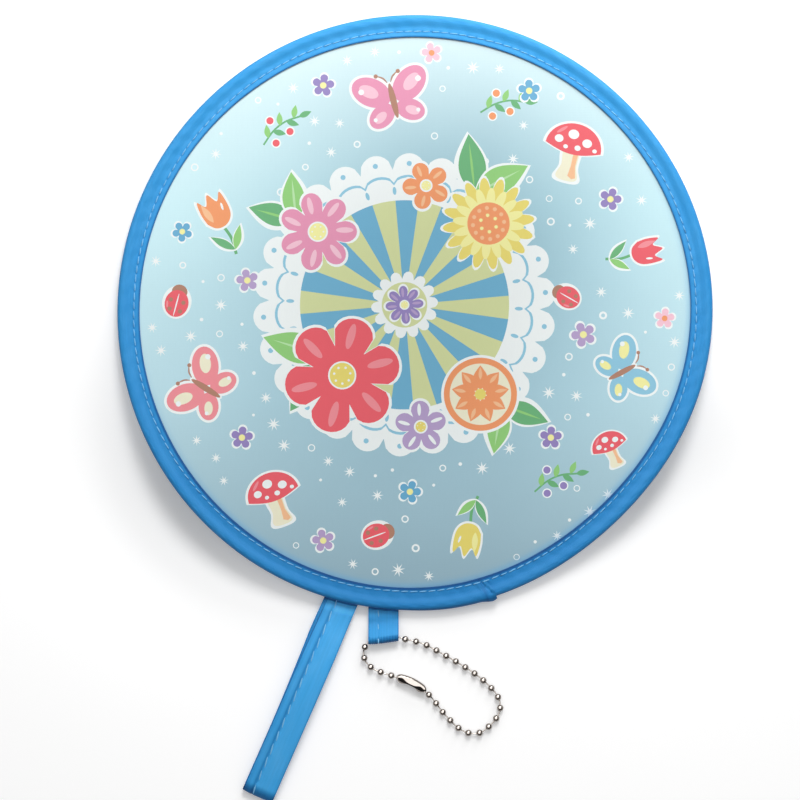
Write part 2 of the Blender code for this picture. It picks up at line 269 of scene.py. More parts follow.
def skin(name, rings, material, along, across, sharp, shade=None):
    # a closed section carried along a path: ends capped from its outer half to its inner half
    count, size = rings.shape[:2]
    ringAt = np.arange(count - 1)[:, None] * size
    here = np.arange(size)[None, :]
    after = (here + 1) % size
    near, far = ringAt + here, ringAt + after
    faces = np.stack([near, far, size + far, size + near], -1).reshape(-1, 4).tolist()
    for start, order in ((0, 1), ((count - 1) * size, -1)):
        for step in range(size // 2 - 1):
            left, right = start + step, start + size - 1 - step
            faces.append([left, right, right - 1, left + 1][::order])
    piece = addPiece(name, rings.reshape(-1, 3), faces, material)
    mesh = piece.data
    shape = bmesh.new()
    shape.from_mesh(mesh)
    settle(shape, mesh, sharp)
    corners = np.empty(len(mesh.loops), np.int32)
    mesh.loops.foreach_get("vertex_index", corners)
    u, v = np.asarray(along)[corners // size], np.asarray(across)[corners % size]
    weave = mesh.uv_layers.new(name="weave")
    weave.data.foreach_set("uv", np.stack([u, v], -1).astype(np.float32).ravel())
    if shade is not None:
        dim = mesh.attributes.new("shade", "FLOAT", "POINT")
        dim.data.foreach_set("value", np.asarray(shade, np.float32).ravel())
    return piece


def smoothRow(points, steps):
    # a Catmull-Rom curve through the points, evenly divided between them
    points = np.asarray(points, float)
    ends = np.vstack([2 * points[0] - points[1], points, 2 * points[-1] - points[-2]])
    row = []
    for i in range(len(points) - 1):
        a, b, c, d = ends[i:i + 4]
        square, cube = 2 * a - 5 * b + 4 * c - d, 3 * b - a - 3 * c + d
        for t in (step / steps for step in range(steps)):
            row.append(b + ((c - a) * t + square * t * t + cube * t ** 3) / 2)
    row.append(points[-1])
    return np.array(row)


def lengthsAlong(row):
    return np.concatenate([[0], np.cumsum(np.linalg.norm(np.diff(row, axis=0), axis=1))])


# the print: its own garden design, drawn in millimetres from the disc's middle
inks = {
    "white": "F6FBFA", "cream": "F4EFD2", "red": "E8505B", "rose": "F08A92", "pink": "E58FB0",
    "blush": "F6C3D3", "orange": "F0955A", "peach": "F7BE8E", "yellow": "EBD968", "lemon": "F7F2A0",
    "green": "5FA86B", "lime": "8CC96E", "mint": "B5DFA4", "purple": "8F7BB8", "lilac": "B49CC8",
    "blue": "5FA6CC", "sky": "8CC5DD", "stripe": "66AACB", "pale": "D3DA9C", "brown": "A9745A",
}
lace = {"scallops": 26, "dots": 52.2, "leaves": 42.2, "rays": 14, "face": 38.6, "heart": 0.78}


def turns(count, shift=0):
    return [fullTurn * (k + shift) / count for k in range(count)]


def polar(reach, angle):
    return reach * cos(angle), reach * sin(angle)


def turned(points, x=0, y=0, lean=0, size=1):
    c, s = cos(lean) * size, sin(lean) * size
    return [(x + px * c - py * s, y + px * s + py * c) for px, py in points]


def oval(wide, high, x=0, y=0, lean=0, count=36):
    return turned([(wide * cos(a), high * sin(a)) for a in turns(count)], x, y, lean)


def spot(ink, size, x=0, y=0, count=36):
    return ink, oval(size, size, x, y, count=count)


def spotRing(ink, number, reach, size, shift=0, count=10):
    return [spot(ink, size, *polar(reach, a), count) for a in turns(number, shift)]


def petalEdge(count, near, far, fullness=0.55, steps=12, start=0):
    points = []
    for a in turns(count * steps):
        reach = near + (far - near) * abs(cos(count * a / 2)) ** fullness
        points.append(polar(reach, a + start))
    return points


def leafEdge(length, wide, x=0, y=0, lean=0):
    side = [(length * k / 16, wide / 2 * sin(pi * (k / 16) ** 0.85)) for k in range(17)]
    return turned(side + [(px, -py) for px, py in side[-2:0:-1]], x, y, lean)


def wedge(near, far, start, end, steps=8):
    def arc(reach, first, last):
        return [polar(reach, first + (last - first) * k / steps) for k in range(steps + 1)]

    return arc(far, start, end) + arc(near, end, start)


def stalk(points, wide):
    row = smoothRow(points, 6)
    way = np.gradient(row, axis=0)
    side = unit(np.stack([-way[:, 1], way[:, 0]], -1)) * wide / 2
    return np.vstack([row + side, (row - side)[::-1]]).tolist()


def closedCurve(points, steps):
    return smoothRow(points + points[:1], steps)[:-1].tolist()


def blossom(petals, inner, outer, fill, light, middle, dots, fullness=0.55):
    # a flower with a white edge, a light stroke on every petal and a dotted middle
    reach, heart = inner + (outer - inner) * 0.35, inner * 0.42
    stroke = (outer - inner) * 0.34 + outer * 0.06
    parts = [("white", petalEdge(petals, inner + 0.8, outer + 1.0, fullness * 0.85)),
             (fill, petalEdge(petals, inner, outer, fullness))]
    parts += [(light, oval(stroke, outer * 0.07, *polar(reach, a + 0.06), a, 18))
              for a in turns(petals)]
    parts += [spot("white", heart + 0.6), spot(middle, heart)]
    return parts + spotRing("white", dots, heart * 0.66, heart * 0.1)


def medallion():
    # a lace-like daisy with a pinwheel heart
    edge, rays, face = lace["scallops"], lace["rays"], lace["face"]
    parts = [("white", petalEdge(edge, 50, 56, 0.5, 10))]
    parts += spotRing("sky", edge, lace["dots"], 0.95, count=14)
    parts += [(ink, petalEdge(edge, near, near + 2.8, 0.5, 8)) for ink, near in (
        ("sky", 45.2), ("white", 44.2))]
    parts += [("sky", oval(1.5, 0.7, *polar(lace["leaves"], a), a, 14)) for a in turns(edge, 0.5)]
    parts.append(spot("pale", face, count=96))
    parts += [("stripe", wedge(8, face, a, a + fullTurn / rays / 2)) for a in turns(rays)]
    parts += [("white", petalEdge(rays, 9.6, 12.4, 0.6, 6)), spot("pale", 8.4)]
    heart = blossom(8, 4.2, 9.0, "purple", "lilac", "lemon", 6)
    return parts + [(ink, turned(points, size=lace["heart"])) for ink, points in heart]


def sunflower(size):
    parts = [("white", petalEdge(16, size * 0.62, size + 1, 0.75, 8)),
             ("yellow", petalEdge(16, size * 0.6, size, 0.8, 8)),
             ("lemon", petalEdge(16, size * 0.5, size * 0.78, 0.9, 8, fullTurn / 32)),
             spot("orange", size * 0.46)]
    parts += spotRing("peach", 12, size * 0.34, size * 0.045)
    return parts + spotRing("lemon", 6, size * 0.18, size * 0.04, 0.5)


def gerbera(size):
    parts = [spot(ink, wide, count=60) for ink, wide in (
        ("white", size + 1), ("orange", size), ("cream", size * 0.84))]
    for a in turns(9):
        for ink, long, wide, start in (("orange", 0.66, 0.4, 0.13), ("peach", 0.34, 0.1, 0.4)):
            parts.append((ink, turned(leafEdge(size * long, size * wide, size * start), lean=a)))
    return parts + [spot("yellow", size * 0.15)]


def butterfly(wing, patch):
    wings = [(wide, high, side * x, y, side * lean) for wide, high, x, y, lean in (
        (7.6, 5.2, 7.2, 5.2, 0.65), (5.4, 3.9, 5.4, -4.2, -0.55)) for side in (1, -1)]
    parts = [("brown", stalk([(side * 0.3, 5.5), (side * 1.6, 9.0), (side * 4.2, 10.6)], 0.6))
             for side in (-1, 1)]
    parts += [("white", oval(wide + 1, high + 1, *rest, 30)) for wide, high, *rest in wings]
    parts.append(("white", oval(1.9, 7.3, 0, 0.4, count=20)))
    parts += [(wing, oval(*shape, 30)) for shape in wings]
    for wide, high, x, y, lean in wings:
        parts += [(patch, oval(wide * 0.5, high * 0.42, x * 1.12, y * 1.1, lean, 22)),
                  spot("white", wide * 0.14, x * 1.5, y * 1.2, 12)]
    parts.append(("brown", oval(1.2, 6.6, 0, 0.4, count=20)))
    return parts + [spot("brown", 0.8, side * 4.2, 10.6, 12) for side in (1, -1)]


def toadstool():
    cap = [(11 * cos(a), 1 + 9.5 * sin(a)) for a in (pi * k / 24 for k in range(25))]
    cap += [(-11 + 22 * k / 12, 1 - 2.6 * sin(pi * k / 12)) for k in range(1, 12)]
    stem = closedCurve([(3.2, 0), (-3.2, 0), (-3.0, -6), (-4.3, -10.2), (-2.6, -11.9),
                        (2.6, -11.9), (4.3, -10.2), (3.0, -6)], 4)
    shadow = [(0.6, 0), (0.8, -6), (0.4, -10), (2.2, -11), (3.6, -10.3), (2.5, -6), (2.6, 0)]
    parts = [("white", [(x * 1.3, y * 1.08) for x, y in stem]),
             ("white", [(x * 1.1, y * 1.1 - 0.2) for x, y in cap]),
             ("cream", stem), ("peach", shadow), ("red", cap)]
    parts += [("white", oval(r, r * 0.88, x, y, count=18)) for x, y, r in (
        (-6.2, 3.4, 1.7), (-1.0, 6.2, 2.1), (4.9, 3.9, 1.9), (8.4, 1.7, 0.9), (1.7, 1.3, 1.2),
        (-3.0, 0.9, 0.9))]
    return parts + [("rose", oval(2.4, 0.6, -5.8, 7.0, 0.75, 16))]


def tulip(fill, light):
    cup = closedCurve([(-5.6, 1), (-6.2, 6), (-5.4, 11.5), (-2.6, 8.2), (0, 12.6), (2.6, 8.2),
                       (5.4, 11.5), (6.2, 6), (5.6, 1), (3.2, -2), (0, -2.9), (-3.2, -2)], 5)
    parts = [("green", stalk([(0, -2), (0.8, -9), (-0.6, -16)], 1.3))]
    for ink, lean, length in (("green", 2.2, 12), ("lime", 0.9, 11)):
        parts += [("white", leafEdge(length + 1.4, 5.0, 0, -14.6, lean)),
                  (ink, leafEdge(length, 3.4, 0, -14, lean))]
    return parts + [("white", [(x * 1.16, (y - 4) * 1.14 + 4) for x, y in cup]), (fill, cup),
                    (light, leafEdge(9.5, 2.8, -2.9, 0.6, 1.72)),
                    ("white", oval(1.7, 0.5, 3.6, 5.2, 1.4, 14))]


def leafPair(size, lean):
    parts = []
    for a, fill, vein in ((lean / 2, "green", "lime"), (-lean / 2, "lime", "mint")):
        parts += [("white", leafEdge(size + 1.6, size * 0.5 + 1.8, -0.5, 0, a)),
                  (fill, leafEdge(size, size * 0.46, 0.2, 0, a)),
                  (vein, leafEdge(size * 0.76, 0.9, *polar(size * 0.1, a), a))]
    return parts


def sprig(fill):
    parts = [("green", stalk([(0, 0), (6, 2.2), (12, 2.6), (18, 1.0)], 0.7))]
    parts += [("lime" if lean > 0 else "green", leafEdge(5.2, 2.3, x, y, lean)) for x, y, lean in (
        (3, 1.2, 1.1), (6, 2.2, -0.8), (9.5, 2.6, 1.0), (12.5, 2.5, -0.9), (15.5, 1.9, 0.8),
        (17.6, 1.1, -0.2))]
    for x, y in ((4.4, -2.2), (11.4, -1.6), (7.4, 6.3)):
        parts += [spot("white", 1.9, x, y, 18), spot(fill, 1.4, x, y, 18)]
    return parts


def ladybird():
    parts = [("white", oval(6.2, 5.4, count=30)), ("brown", oval(2.6, 2.9, 4.0, count=20)),
             ("red", oval(5.0, 4.4, -0.5, count=30)), ("white", oval(4.4, 0.25, -1.0, count=12))]
    parts += [spot("brown", 0.8, x, y, 12) for x, y in ((-3, 2), (0.4, 2.4), (-3, -2), (0.4, -2.4))]
    return parts + [("rose", oval(1.3, 0.4, -1.6, 3.3, 0.2, 12))]


def littleFlower(fill, middle="lemon"):
    return [("white", petalEdge(5, 2.6, 4.9, 0.6, 8)), (fill, petalEdge(5, 2.0, 4.1, 0.6, 8)),
            spot(middle, 1.2, count=14)]


garden = [
    # parts, x, y, turned by degrees, size, clear radius
    (medallion(), -4, 3, 5, 1.0, 57),
    (leafPair(24, 1.3), -33, -16, 200, 1.0, 0),
    (leafPair(22, 1.2), 22, 44, 62, 1.0, 0),
    (leafPair(18, 1.2), -44, 34, 130, 1.0, 0),
    (leafPair(18, 1.4), 32, -34, -60, 1.0, 0),
    (blossom(6, 11.0, 21.5, "red", "rose", "yellow", 7, 0.38), -27, -23, 14, 1.0, 23),
    (sunflower(17.0), 27, 33, 6, 1.0, 18),
    (gerbera(13.5), 24, -30, 10, 1.0, 15),
    (blossom(7, 7.5, 14.5, "pink", "blush", "lemon", 6), -36, 30, 0, 1.0, 16),
    (blossom(5, 4.6, 9.6, "lilac", "white", "yellow", 5, 0.6), 2, -42, 20, 1.0, 11),
    (blossom(5, 4.2, 8.8, "orange", "peach", "lemon", 5, 0.6), 4, 47, 40, 1.0, 10),
    (butterfly("pink", "blush"), -8, 78, 14, 1.0, 15),
    (butterfly("sky", "lemon"), 76, -22, -62, 0.85, 14),
    (butterfly("rose", "cream"), -77, -28, 58, 0.95, 15),
    (toadstool(), 58, 60, -14, 0.95, 15),
    (toadstool(), -52, -68, 20, 0.88, 15),
    (toadstool(), 72, -50, 24, 0.6, 11),
    (tulip("orange", "peach"), -72, 34, 28, 0.85, 17),
    (tulip("yellow", "lemon"), 20, -80, 168, 0.8, 16),
    (tulip("red", "rose"), 82, 22, -78, 0.75, 15),
    (sprig("red"), -56, 62, 35, 0.95, 12),
    (sprig("purple"), 44, -66, 20, 0.95, 12),
    (sprig("orange"), 24, 74, 10, 0.95, 12),
    (ladybird(), -88, 4, 75, 1.0, 8),
    (ladybird(), 56, 6, 150, 0.9, 8),
    (ladybird(), -14, -82, 20, 1.0, 8),
]
garden += [(littleFlower(ink), x, y, lean, size, 6) for ink, x, y, lean, size in (
    ("purple", -34, 84, 10, 1.0), ("lilac", -62, 12, 30, 1.0), ("blue", -86, 30, 50, 0.9),
    ("purple", 72, 42, 0, 1.0), ("blue", 42, 82, 20, 1.0), ("lilac", 62, -8, 40, 1.1),
    ("purple", 50, -46, 15, 1.0), ("blue", -2, -66, 0, 1.0), ("lilac", -34, -84, 30, 1.0),
    ("purple", -64, -46, 12, 1.0))]
garden += [(littleFlower("blush", "orange"), x, y, lean, 0.9, 5) for x, y, lean in (
    (92, -2, 12), (6, 96, 30))]
scatter = (
    # parts, clear radius, how many: sparkles, circlets and dots
    ([("white", [polar(r, a) for a, r in zip(turns(16), (2.3, 0.70) * 8)])], 2.8, 46),
    ([spot("white", 1.35, count=20), spot("ground", 0.85, count=18)], 2.0, 30),
    ([spot("white", 0.62, count=12)], 1.4, 80),
)

panel = {
    "inside": 0.0025, "thickness": 0.00025, "edgePoints": 360, "grid": 3.1, "rows": 33,
    "gridReach": 96, "rings": (3.0, 4.5, 6.5, 8.2, 9.2, 10.4, 11.8), "ringPoints": 300,
    "wave": 0.30, "flatFrom": 101, "flatOver": 45, "seed": 11, "scatterReach": 98, "between": 1.6,
    # the sky darkens towards the bottom: partly its own gradient, partly painted shade
    "sky": ((104, "D6ECF0"), (40, "CAEDF4"), (-30, "B9DDE8"), (-104, "8BABBA")),
    # painted light over the whole cloth and painted shade towards its middle, for bare cloth and
    # inks
    "light": 1.19, "paintedShade": ((-6, -10, 80, 0.35), (18, 32, 62, 0.46)),  # x, y, reach, depth
    "paintedShadeTint": (1.25, 1.0, 0.86), "inkPaintedShade": 0.35, "ink": 0.96, "inkGround": 0.05,
    # a painted blue reflection of the rim tape on the cloth beside the rim
    "haze": "63AEDD", "hazeWidth": 2.7, "hazeShare": 0.60, "hazeAngle": radians(68),
    "covered": 8.27, "through": 0.5, "cutEdge": "A9D3DC",
}


def layPrint():
    # every shape as (ink, points) in the order of printing: the scatter, then the garden
    shapes = []
    taken = [(x, y, clear) for _, x, y, _, _, clear in garden if clear]
    draw = random.Random(panel["seed"])
    for parts, clear, wanted in scatter:
        placed = 0
        for _ in range(4000):
            if placed == wanted:
                break
            angle = draw.uniform(0, fullTurn)
            x, y = polar(panel["scatterReach"] * sqrt(draw.random()), angle)
            room = clear + panel["between"]
            if all(hypot(x - tx, y - ty) > room + other for tx, ty, other in taken):
                for ink, points in parts:
                    lean, size = draw.uniform(0, 1), draw.uniform(0.85, 1.15)
                    shapes.append((ink, turned(points, x, y, lean, size)))
                taken.append((x, y, clear + 1.5))
                placed += 1
    for parts, x, y, lean, size, _ in garden:
        shapes += [(ink, turned(points, x, y, radians(lean), size)) for ink, points in parts]
    return shapes


def facingUp(points):
    # an outline that runs anticlockwise
    area = sum(a[0] * b[1] - b[0] * a[1] for a, b in zip(points, points[1:] + points[:1]))
    return points if area > 0 else points[::-1]


def shadedSkyAt(y):
    # the sky print, darker towards the bottom: partly its own gradient and partly painted shade
    # where the light falls off
    heights, codes = zip(*panel["sky"][::-1])
    colours = np.array([tint(code) for code in codes])
    return np.stack([np.interp(y, heights, colours[:, c]) for c in range(3)], -1)


def paintedShadeAt(x, y):
    # painted shade, deepest towards the cloth's middle, with painted light towards its sides
    light = panel["light"]
    for midX, midY, reach, depth in panel["paintedShade"]:
        light = light * (1 - depth * np.exp(-((x - midX) ** 2 + (y - midY) ** 2) / reach ** 2))
    return light


def waveAt(x, y):
    # the cloth's slack between the hoop's sides, nothing at the rim
    flat = ease((panel["flatFrom"] - np.hypot(x, y)) / panel["flatOver"])
    swell = np.sin(x / 17.0 + 0.8 * np.sin(y / 31.0)) * 0.5
    swell = swell + np.sin((x * 0.5 + y) / 23.0 + 1.1) * 0.5
    return panel["wave"] * flat * (swell + 0.35 * np.sin((x - y * 0.7) / 9.0))


def clothRing(count, inside, shift=0):
    angles = np.linspace(0, fullTurn, count, endpoint=False) + shift
    return ((onRim(angles, inside, 0)[:, :2] - disc["middle"]) * 1000).tolist()


def cutPanel():
    # the disc cut flat into triangles along every printed edge, with the ink of each triangle
    points = clothRing(panel["edgePoints"], panel["inside"])
    faces, inkOf = [list(range(len(points)))], ["ground"]
    for ink, outline in layPrint():
        faces.append(list(range(len(points), len(points) + len(outline))))
        points += facingUp(outline)
        inkOf.append(ink)
    # spare points carry the waves and the shading of the bare cloth
    span, grid = range(-panel["rows"], panel["rows"] + 1), panel["grid"]
    spare = [((i + 0.5 * (j % 2)) * grid, j * grid * 0.866) for i in span for j in span]
    points += [p for p in spare if hypot(*p) < panel["gridReach"]]
    for inside in panel["rings"]:
        points += clothRing(panel["ringPoints"], inside / 1000, inside)
    verts, _, tris, _, _, origin = delaunay_2d_cdt([Vector(p) for p in points], [], faces, 1, 1e-5)
    kept = [(list(t), inkOf[max(o)]) for t, o in zip(tris, origin) if 0 in o]
    return np.array([v[:] for v in verts]), *zip(*kept)


def printColours(x, y, ink):
    # colours at the corners of the printed faces, and of the underside where they show through,
    # with painted shade, painted light and a painted blue reflection beside the rim
    paintedShade = paintedShadeAt(x, y)
    bare = shadedSkyAt(y) * paintedShade[:, None] ** np.array(panel["paintedShadeTint"])
    # the inks get the painted shade too
    inkShade = np.minimum(1, 1 - panel["inkPaintedShade"] * (1 - paintedShade))[:, None]
    pure = {"ground": (0, 0, 0), **{name: tint(code) for name, code in inks.items()}}
    fills = np.array([pure[name] for name in ink]).repeat(3, 0)
    printed = (np.array(ink) != "ground").repeat(3)[:, None]
    inked = fills * panel["ink"] * inkShade + bare * panel["inkGround"]
    bearing = np.arctan2(y, x)
    fromRim = rimRadius(bearing) * 1000 - panel["covered"] - np.hypot(x, y)
    # painted blue reflection of the rim tape, strongest towards the lower right and none at the
    # upper left
    haze = np.clip(1 - fromRim / panel["hazeWidth"], 0, 1) ** 1.3
    side = panel["hazeShare"] * ease(np.cos(bearing + panel["hazeAngle"]) + 0.35)
    share = (haze * side)[:, None]
    colour = np.where(printed, inked, bare) * (1 - share) + np.array(tint(panel["haze"])) * share
    return colour, colour * panel["through"] + bare * (1 - panel["through"])


def makePanel(material):
    flat, front, ink = cutPanel()
    count, x, y = len(flat), flat[:, 0], flat[:, 1]
    place = np.column_stack([flat / 1000 + disc["middle"], disc["height"] + waveAt(x, y) / 1000])
    half = (0, 0, panel["thickness"] / 2)
    back = [[v + count for v in t[::-1]] for t in front]
    edges = dict.fromkeys((a, b) for t in front for a, b in zip(t, t[1:] + t[:1]))
    sides = [[b, a, a + count, b + count] for a, b in edges if (b, a) not in edges]
    faces = [*front, *back, *sides]
    piece = addPiece("printedPanel", np.vstack([place + half, place - half]), faces, material)
    # both faces are shaded as one smooth sheet
    leanX = waveAt(x + 0.5, y) - waveAt(x - 0.5, y)
    leanY = waveAt(x, y + 0.5) - waveAt(x, y - 0.5)
    normals = unit(np.column_stack([-leanX, -leanY, np.ones(count)]))
    corner, behind = np.array(front).ravel(), np.array(front)[:, ::-1].ravel()
    cut = (4 * len(sides), 1)
    outward = np.vstack([normals[corner], -normals[behind], np.tile((0, 0, 0), cut)])
    piece.data.normals_split_custom_set(outward.tolist())
    upper, under = printColours(flat[corner, 0], flat[corner, 1], ink)
    under = under.reshape(-1, 3, 3)[:, ::-1].reshape(-1, 3)
    colours = np.vstack([upper, under, np.tile(tint(panel["cutEdge"]), cut)])
    layer = piece.data.attributes.new("print", "FLOAT_COLOR", "CORNER")
    colours = np.column_stack([colours, np.ones(len(colours))]).astype(np.float32)
    layer.data.foreach_set("color", colours.ravel())
    print("panel:", len(front), "printed faces")
    return piece


def satinLook():
    look = Look("printedSatin", Sheen_Weight=0.06, Sheen_Roughness=0.4, Specular_IOR_Level=0.35)
    where = look.place()
    ink = look.own("print", "Color")
    cloud = look.noise(where, 28.0, 3.0, 0.55, (1, 1, 0))
    fibre = look.noise(where, 1.0, stretch=(2600, 320, 0))
    value = 0.95 + cloud * 0.07 + fibre * 0.035
    colour = look.mix(1.0, ink, look.shades(value, value, value), "MULTIPLY")
    warp = look.waves(look.scaled(where, (1, 1, 0)), 700.0, "X")
    weft = look.waves(look.scaled(where, (1, 1, 0)), 520.0, "Y")
    cloth = look.bump(warp * 0.6 + weft * 0.4 + fibre * 0.6, 0.35, 0.00004)
    rough = 0.40 + fibre * 0.12 + cloud * 0.05
    return look.finish(Base_Color=colour, Roughness=rough, Normal=cloth)


satin = satinLook()
printedPanel = makePanel(satin)
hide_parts("fabric_panel")
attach(printedPanel, "disc")

# rim, strap and tab are of one woven tape
tape = {"colour": "2099E2", "light": "50B2F0", "deep": "0C60A4", "rib": 0.34, "rough": 0.46,
        "redFall": 2.1, "blueFall": 0.72, "edge": 50}


def tapeLook():
    # the weave map runs along and across the tape in millimetres
    look = Look("azureTape", Sheen_Weight=0.08, Sheen_Roughness=0.4, Specular_IOR_Level=0.3)
    weave = look.add("ShaderNodeUVMap", {"uv_map": "weave"})
    shade = look.own("shade")
    across = look.waves(weave, 1 / tape["rib"] / 2, "X", 0.4)
    along = look.waves(weave, 1 / tape["rib"] / 1.6, "Y", 0.3)
    fluff = look.noise(weave, 1.0, 3.0, 0.6, (0.9, 3.5, 0))
    cloud = look.noise(weave, 1.0, stretch=(0.08, 0.2, 0))
    streak = look.noise(weave, 1.0, 2.0, 0.6, (0.07, 1.3, 0))
    worn = look.mix(cloud * 0.55, tint(tape["colour"]), tint(tape["light"]))
    fine = look.mix(fluff * 0.16 + streak * 0.26 + across * 0.07, worn, tint(tape["deep"]))
    # the shade attribute carries painted light and shade, with red falling fastest where it is
    # darker
    fall = look.shades(shade ** tape["redFall"], shade, shade ** tape["blueFall"])
    shaded = look.mix(1.0, fine, fall, "MULTIPLY")
    threads = look.bump(across * 0.7 + along * 0.35 + fluff * 0.5, 0.5, 0.00006)
    return look.finish(Base_Color=shaded, Roughness=tape["rough"] + fluff * 0.12, Normal=threads)


def foldTape(name, outer, inner, along, across, shade, innerShade, material):
    # the tape between its outer face and its inner face, which gets painted shade
    rings = np.concatenate([outer, inner[:, ::-1]], 1)
    both = np.concatenate([shade, shade[:, ::-1] * innerShade], 1)
    across = np.concatenate([across, across[::-1]])
    return skin(name, rings, material, along, across, tape["edge"], both)


azure = tapeLook()

# millimetres and degrees; the tape ends lie one over the other between under and end
rim = {
    "width": 8.27, "tape": 0.35, "hem": 0.775, "crown": 1.45, "slopeFrom": 4.9, "slope": 2.9,
    "nose": 1.55, "under": 281.0, "end": 646.0, "perDegree": 2.7, "lift": 0.65, "liftFrom": 624.0,
    "liftOver": 14.0, "flare": 0.95, "slant": 1.3, "slantOver": 7.0, "stitch": 6.07,
    # the last keys set painted shade along the hem, at the outer edge, at the end's fold and in the
    # needle holes, and painted light overall and towards the top
    "stitchLow": 0.75, "stitches": 195, "pucker": 0.10, "hemShade": 0.55, "hemLowShade": 0.12,
    "bright": 1.03, "topLight": 0.25, "noseShade": 0.30, "endShade": 0.34, "holeShade": 0.30,
}


def tapeHeight(depth, lift):
    # half the rim's thickness: flat hem, slope, crown
    rise = ease((rim["slopeFrom"] - depth) / rim["slope"])
    return rim["hem"] + (rim["crown"] - rim["hem"]) * rise + lift


def liftAt(angles):
    # how far the tape's end lies above its start
    return rim["lift"] * ease((angles - rim["liftFrom"]) / rim["liftOver"])


def slantAt(angles):
    # degrees by which the folded end leans
    return rim["slant"] * ease((angles - rim["end"]) / rim["slantOver"] + 1)


def stitchPhase(angles):
    return angles * rim["stitches"] / 360 * fullTurn


def stitchLine(angles):
    # the seam's depth, a little more at the bottom of the disc
    return rim["stitch"] + rim["stitchLow"] * ease((-np.sin(np.radians(angles)) - 0.4) / 0.5)


def rimRings(angles, inner):
    # rings of the folded tape from front hem to back hem: its outer face, or its inner face for 1
    face = [[rim["width"], 8.2, 8.05], np.linspace(7.7, 5.0, 11), np.linspace(4.7, 1.75, 11)]
    face = np.concatenate(face)[None, :]
    lean = np.linspace(pi / 2, -pi / 2, 15)
    drop = inner * rim["tape"]
    t, lift = angles[:, None], liftAt(angles)[:, None]
    hems = np.array([0.10, 0.02] + [0] * (face.size - 2)) * (1 - inner)
    high = tapeHeight(face, lift) - drop - hems
    past = t - rim["end"]
    flare = rim["flare"] * (ease(past / 2.6 + 3.4 / 2.6) - 0.55 * ease(past / 0.7 + 1))
    phase = stitchPhase(t)
    pull = rim["pucker"] * bell(face - rim["stitch"], 1.1) * (0.55 + 0.45 * np.cos(phase))
    ripple = 0.05 * np.sin(phase * 0.5 + face * 0.8) * ease((8.4 - face) / 2.5)
    fan = past * (2.6 + 0.14 * face) + face * 0.45
    crease = 0.30 * np.sin(fan) + 0.14 * np.sin(fan * 2.3 + 1.0)
    crease = ease(past / 4.0 + 1) * crease * ease((8.0 - face) / 1.6)
    front = high - pull + ripple + crease
    under = high - pull + ripple * 0.6 + crease * 0.4
    nose = rim["nose"] - (rim["nose"] + lift + flare * 0.9 - drop) * np.cos(lean)
    tall = (rim["crown"] + lift - drop + crease[:, -1:] * 0.5) * np.sin(lean)
    face = np.broadcast_to(face, front.shape)
    depth = np.concatenate([face, nose, face[:, ::-1]], 1)
    height = np.concatenate([front, tall, -under[:, ::-1]], 1)
    skew = slantAt(t) * ease(depth / rim["width"] * 1.1 - 0.1)
    return onRim(np.radians(t - skew), depth / 1000, height / 1000), depth


def makeRim(material):
    count = int((rim["end"] - rim["under"]) * rim["perDegree"]) + 1
    angles = np.linspace(rim["under"], rim["end"], count)
    outer, depth = rimRings(angles, 0)
    inner, _ = rimRings(angles, 1)
    across = lengthsAlong(outer[0]) * 1000
    along = np.radians(angles) * disc["radius"] * 1000
    t = angles[:, None]
    high = np.sin(np.radians(t))
    low = ease((0.1 - high) / 0.9)
    hem = 0.72 + 0.58 * low  # width of the painted shade along the hem's turned-under edge, wider at the bottom
    hemShade = rim["hemShade"] + rim["hemLowShade"] * low
    shade = 1 - hemShade * ease((depth - rim["width"] + hem) / (hem * 0.55))
    # painted light over the tape, brighter towards the top of the disc
    shade *= rim["bright"] * np.exp(rim["topLight"] * high)
    # painted shade at the rim's rounded outer edge
    shade *= 1 - rim["noseShade"] * ease((0.7 - depth) / 0.7)
    # painted shade in a slanting line just short of the tape's folded end
    shade *= 1 - rim["endShade"] * bell(t - depth * 0.06 - rim["end"] + 1.9, 0.3)
    # painted shade in the needle holes along the seam
    hole = (0.5 + 0.5 * np.cos(stitchPhase(t))) ** 2
    shade *= 1 - rim["holeShade"] * hole * bell(depth - stitchLine(t), 0.42)
    return foldTape("rimTape", outer, inner, along, across, shade, 0.7, material)


rimTape = makeRim(azure)
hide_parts("rim_binding", "binding_overlap")
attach(rimTape, "disc")
print("rim tape made")


class LoopedTape:
    # along starts at the rim's edge, across goes to the photo's right, height is above the table
    def __init__(self, angle, heading, slope):
        self.root = onRim(np.array(angle), 0, 0)
        self.way = np.array([cos(heading), sin(heading)])
        self.side = np.array([-sin(heading), cos(heading)])
        self.slope = slope

    def point(self, along, across, height):
        along = along - along * across * self.slope
        x = self.root[0] + self.way[0] * along + self.side[0] * across
        y = self.root[1] + self.way[1] * along + self.side[1] * across
        return np.stack(np.broadcast_arrays(x, y, height), axis=-1)

    def surface(self, row, offset, across):
        # points at an offset out of the loop, for each place on the row and each place across
        way = unit(np.gradient(row[:, :2], axis=0))
        along = row[:, 0:1] + way[:, 1:2] * offset
        height = row[:, 1:2] - way[:, 0:1] * offset
        return self.point(along, row[:, 2:3] + across, height)


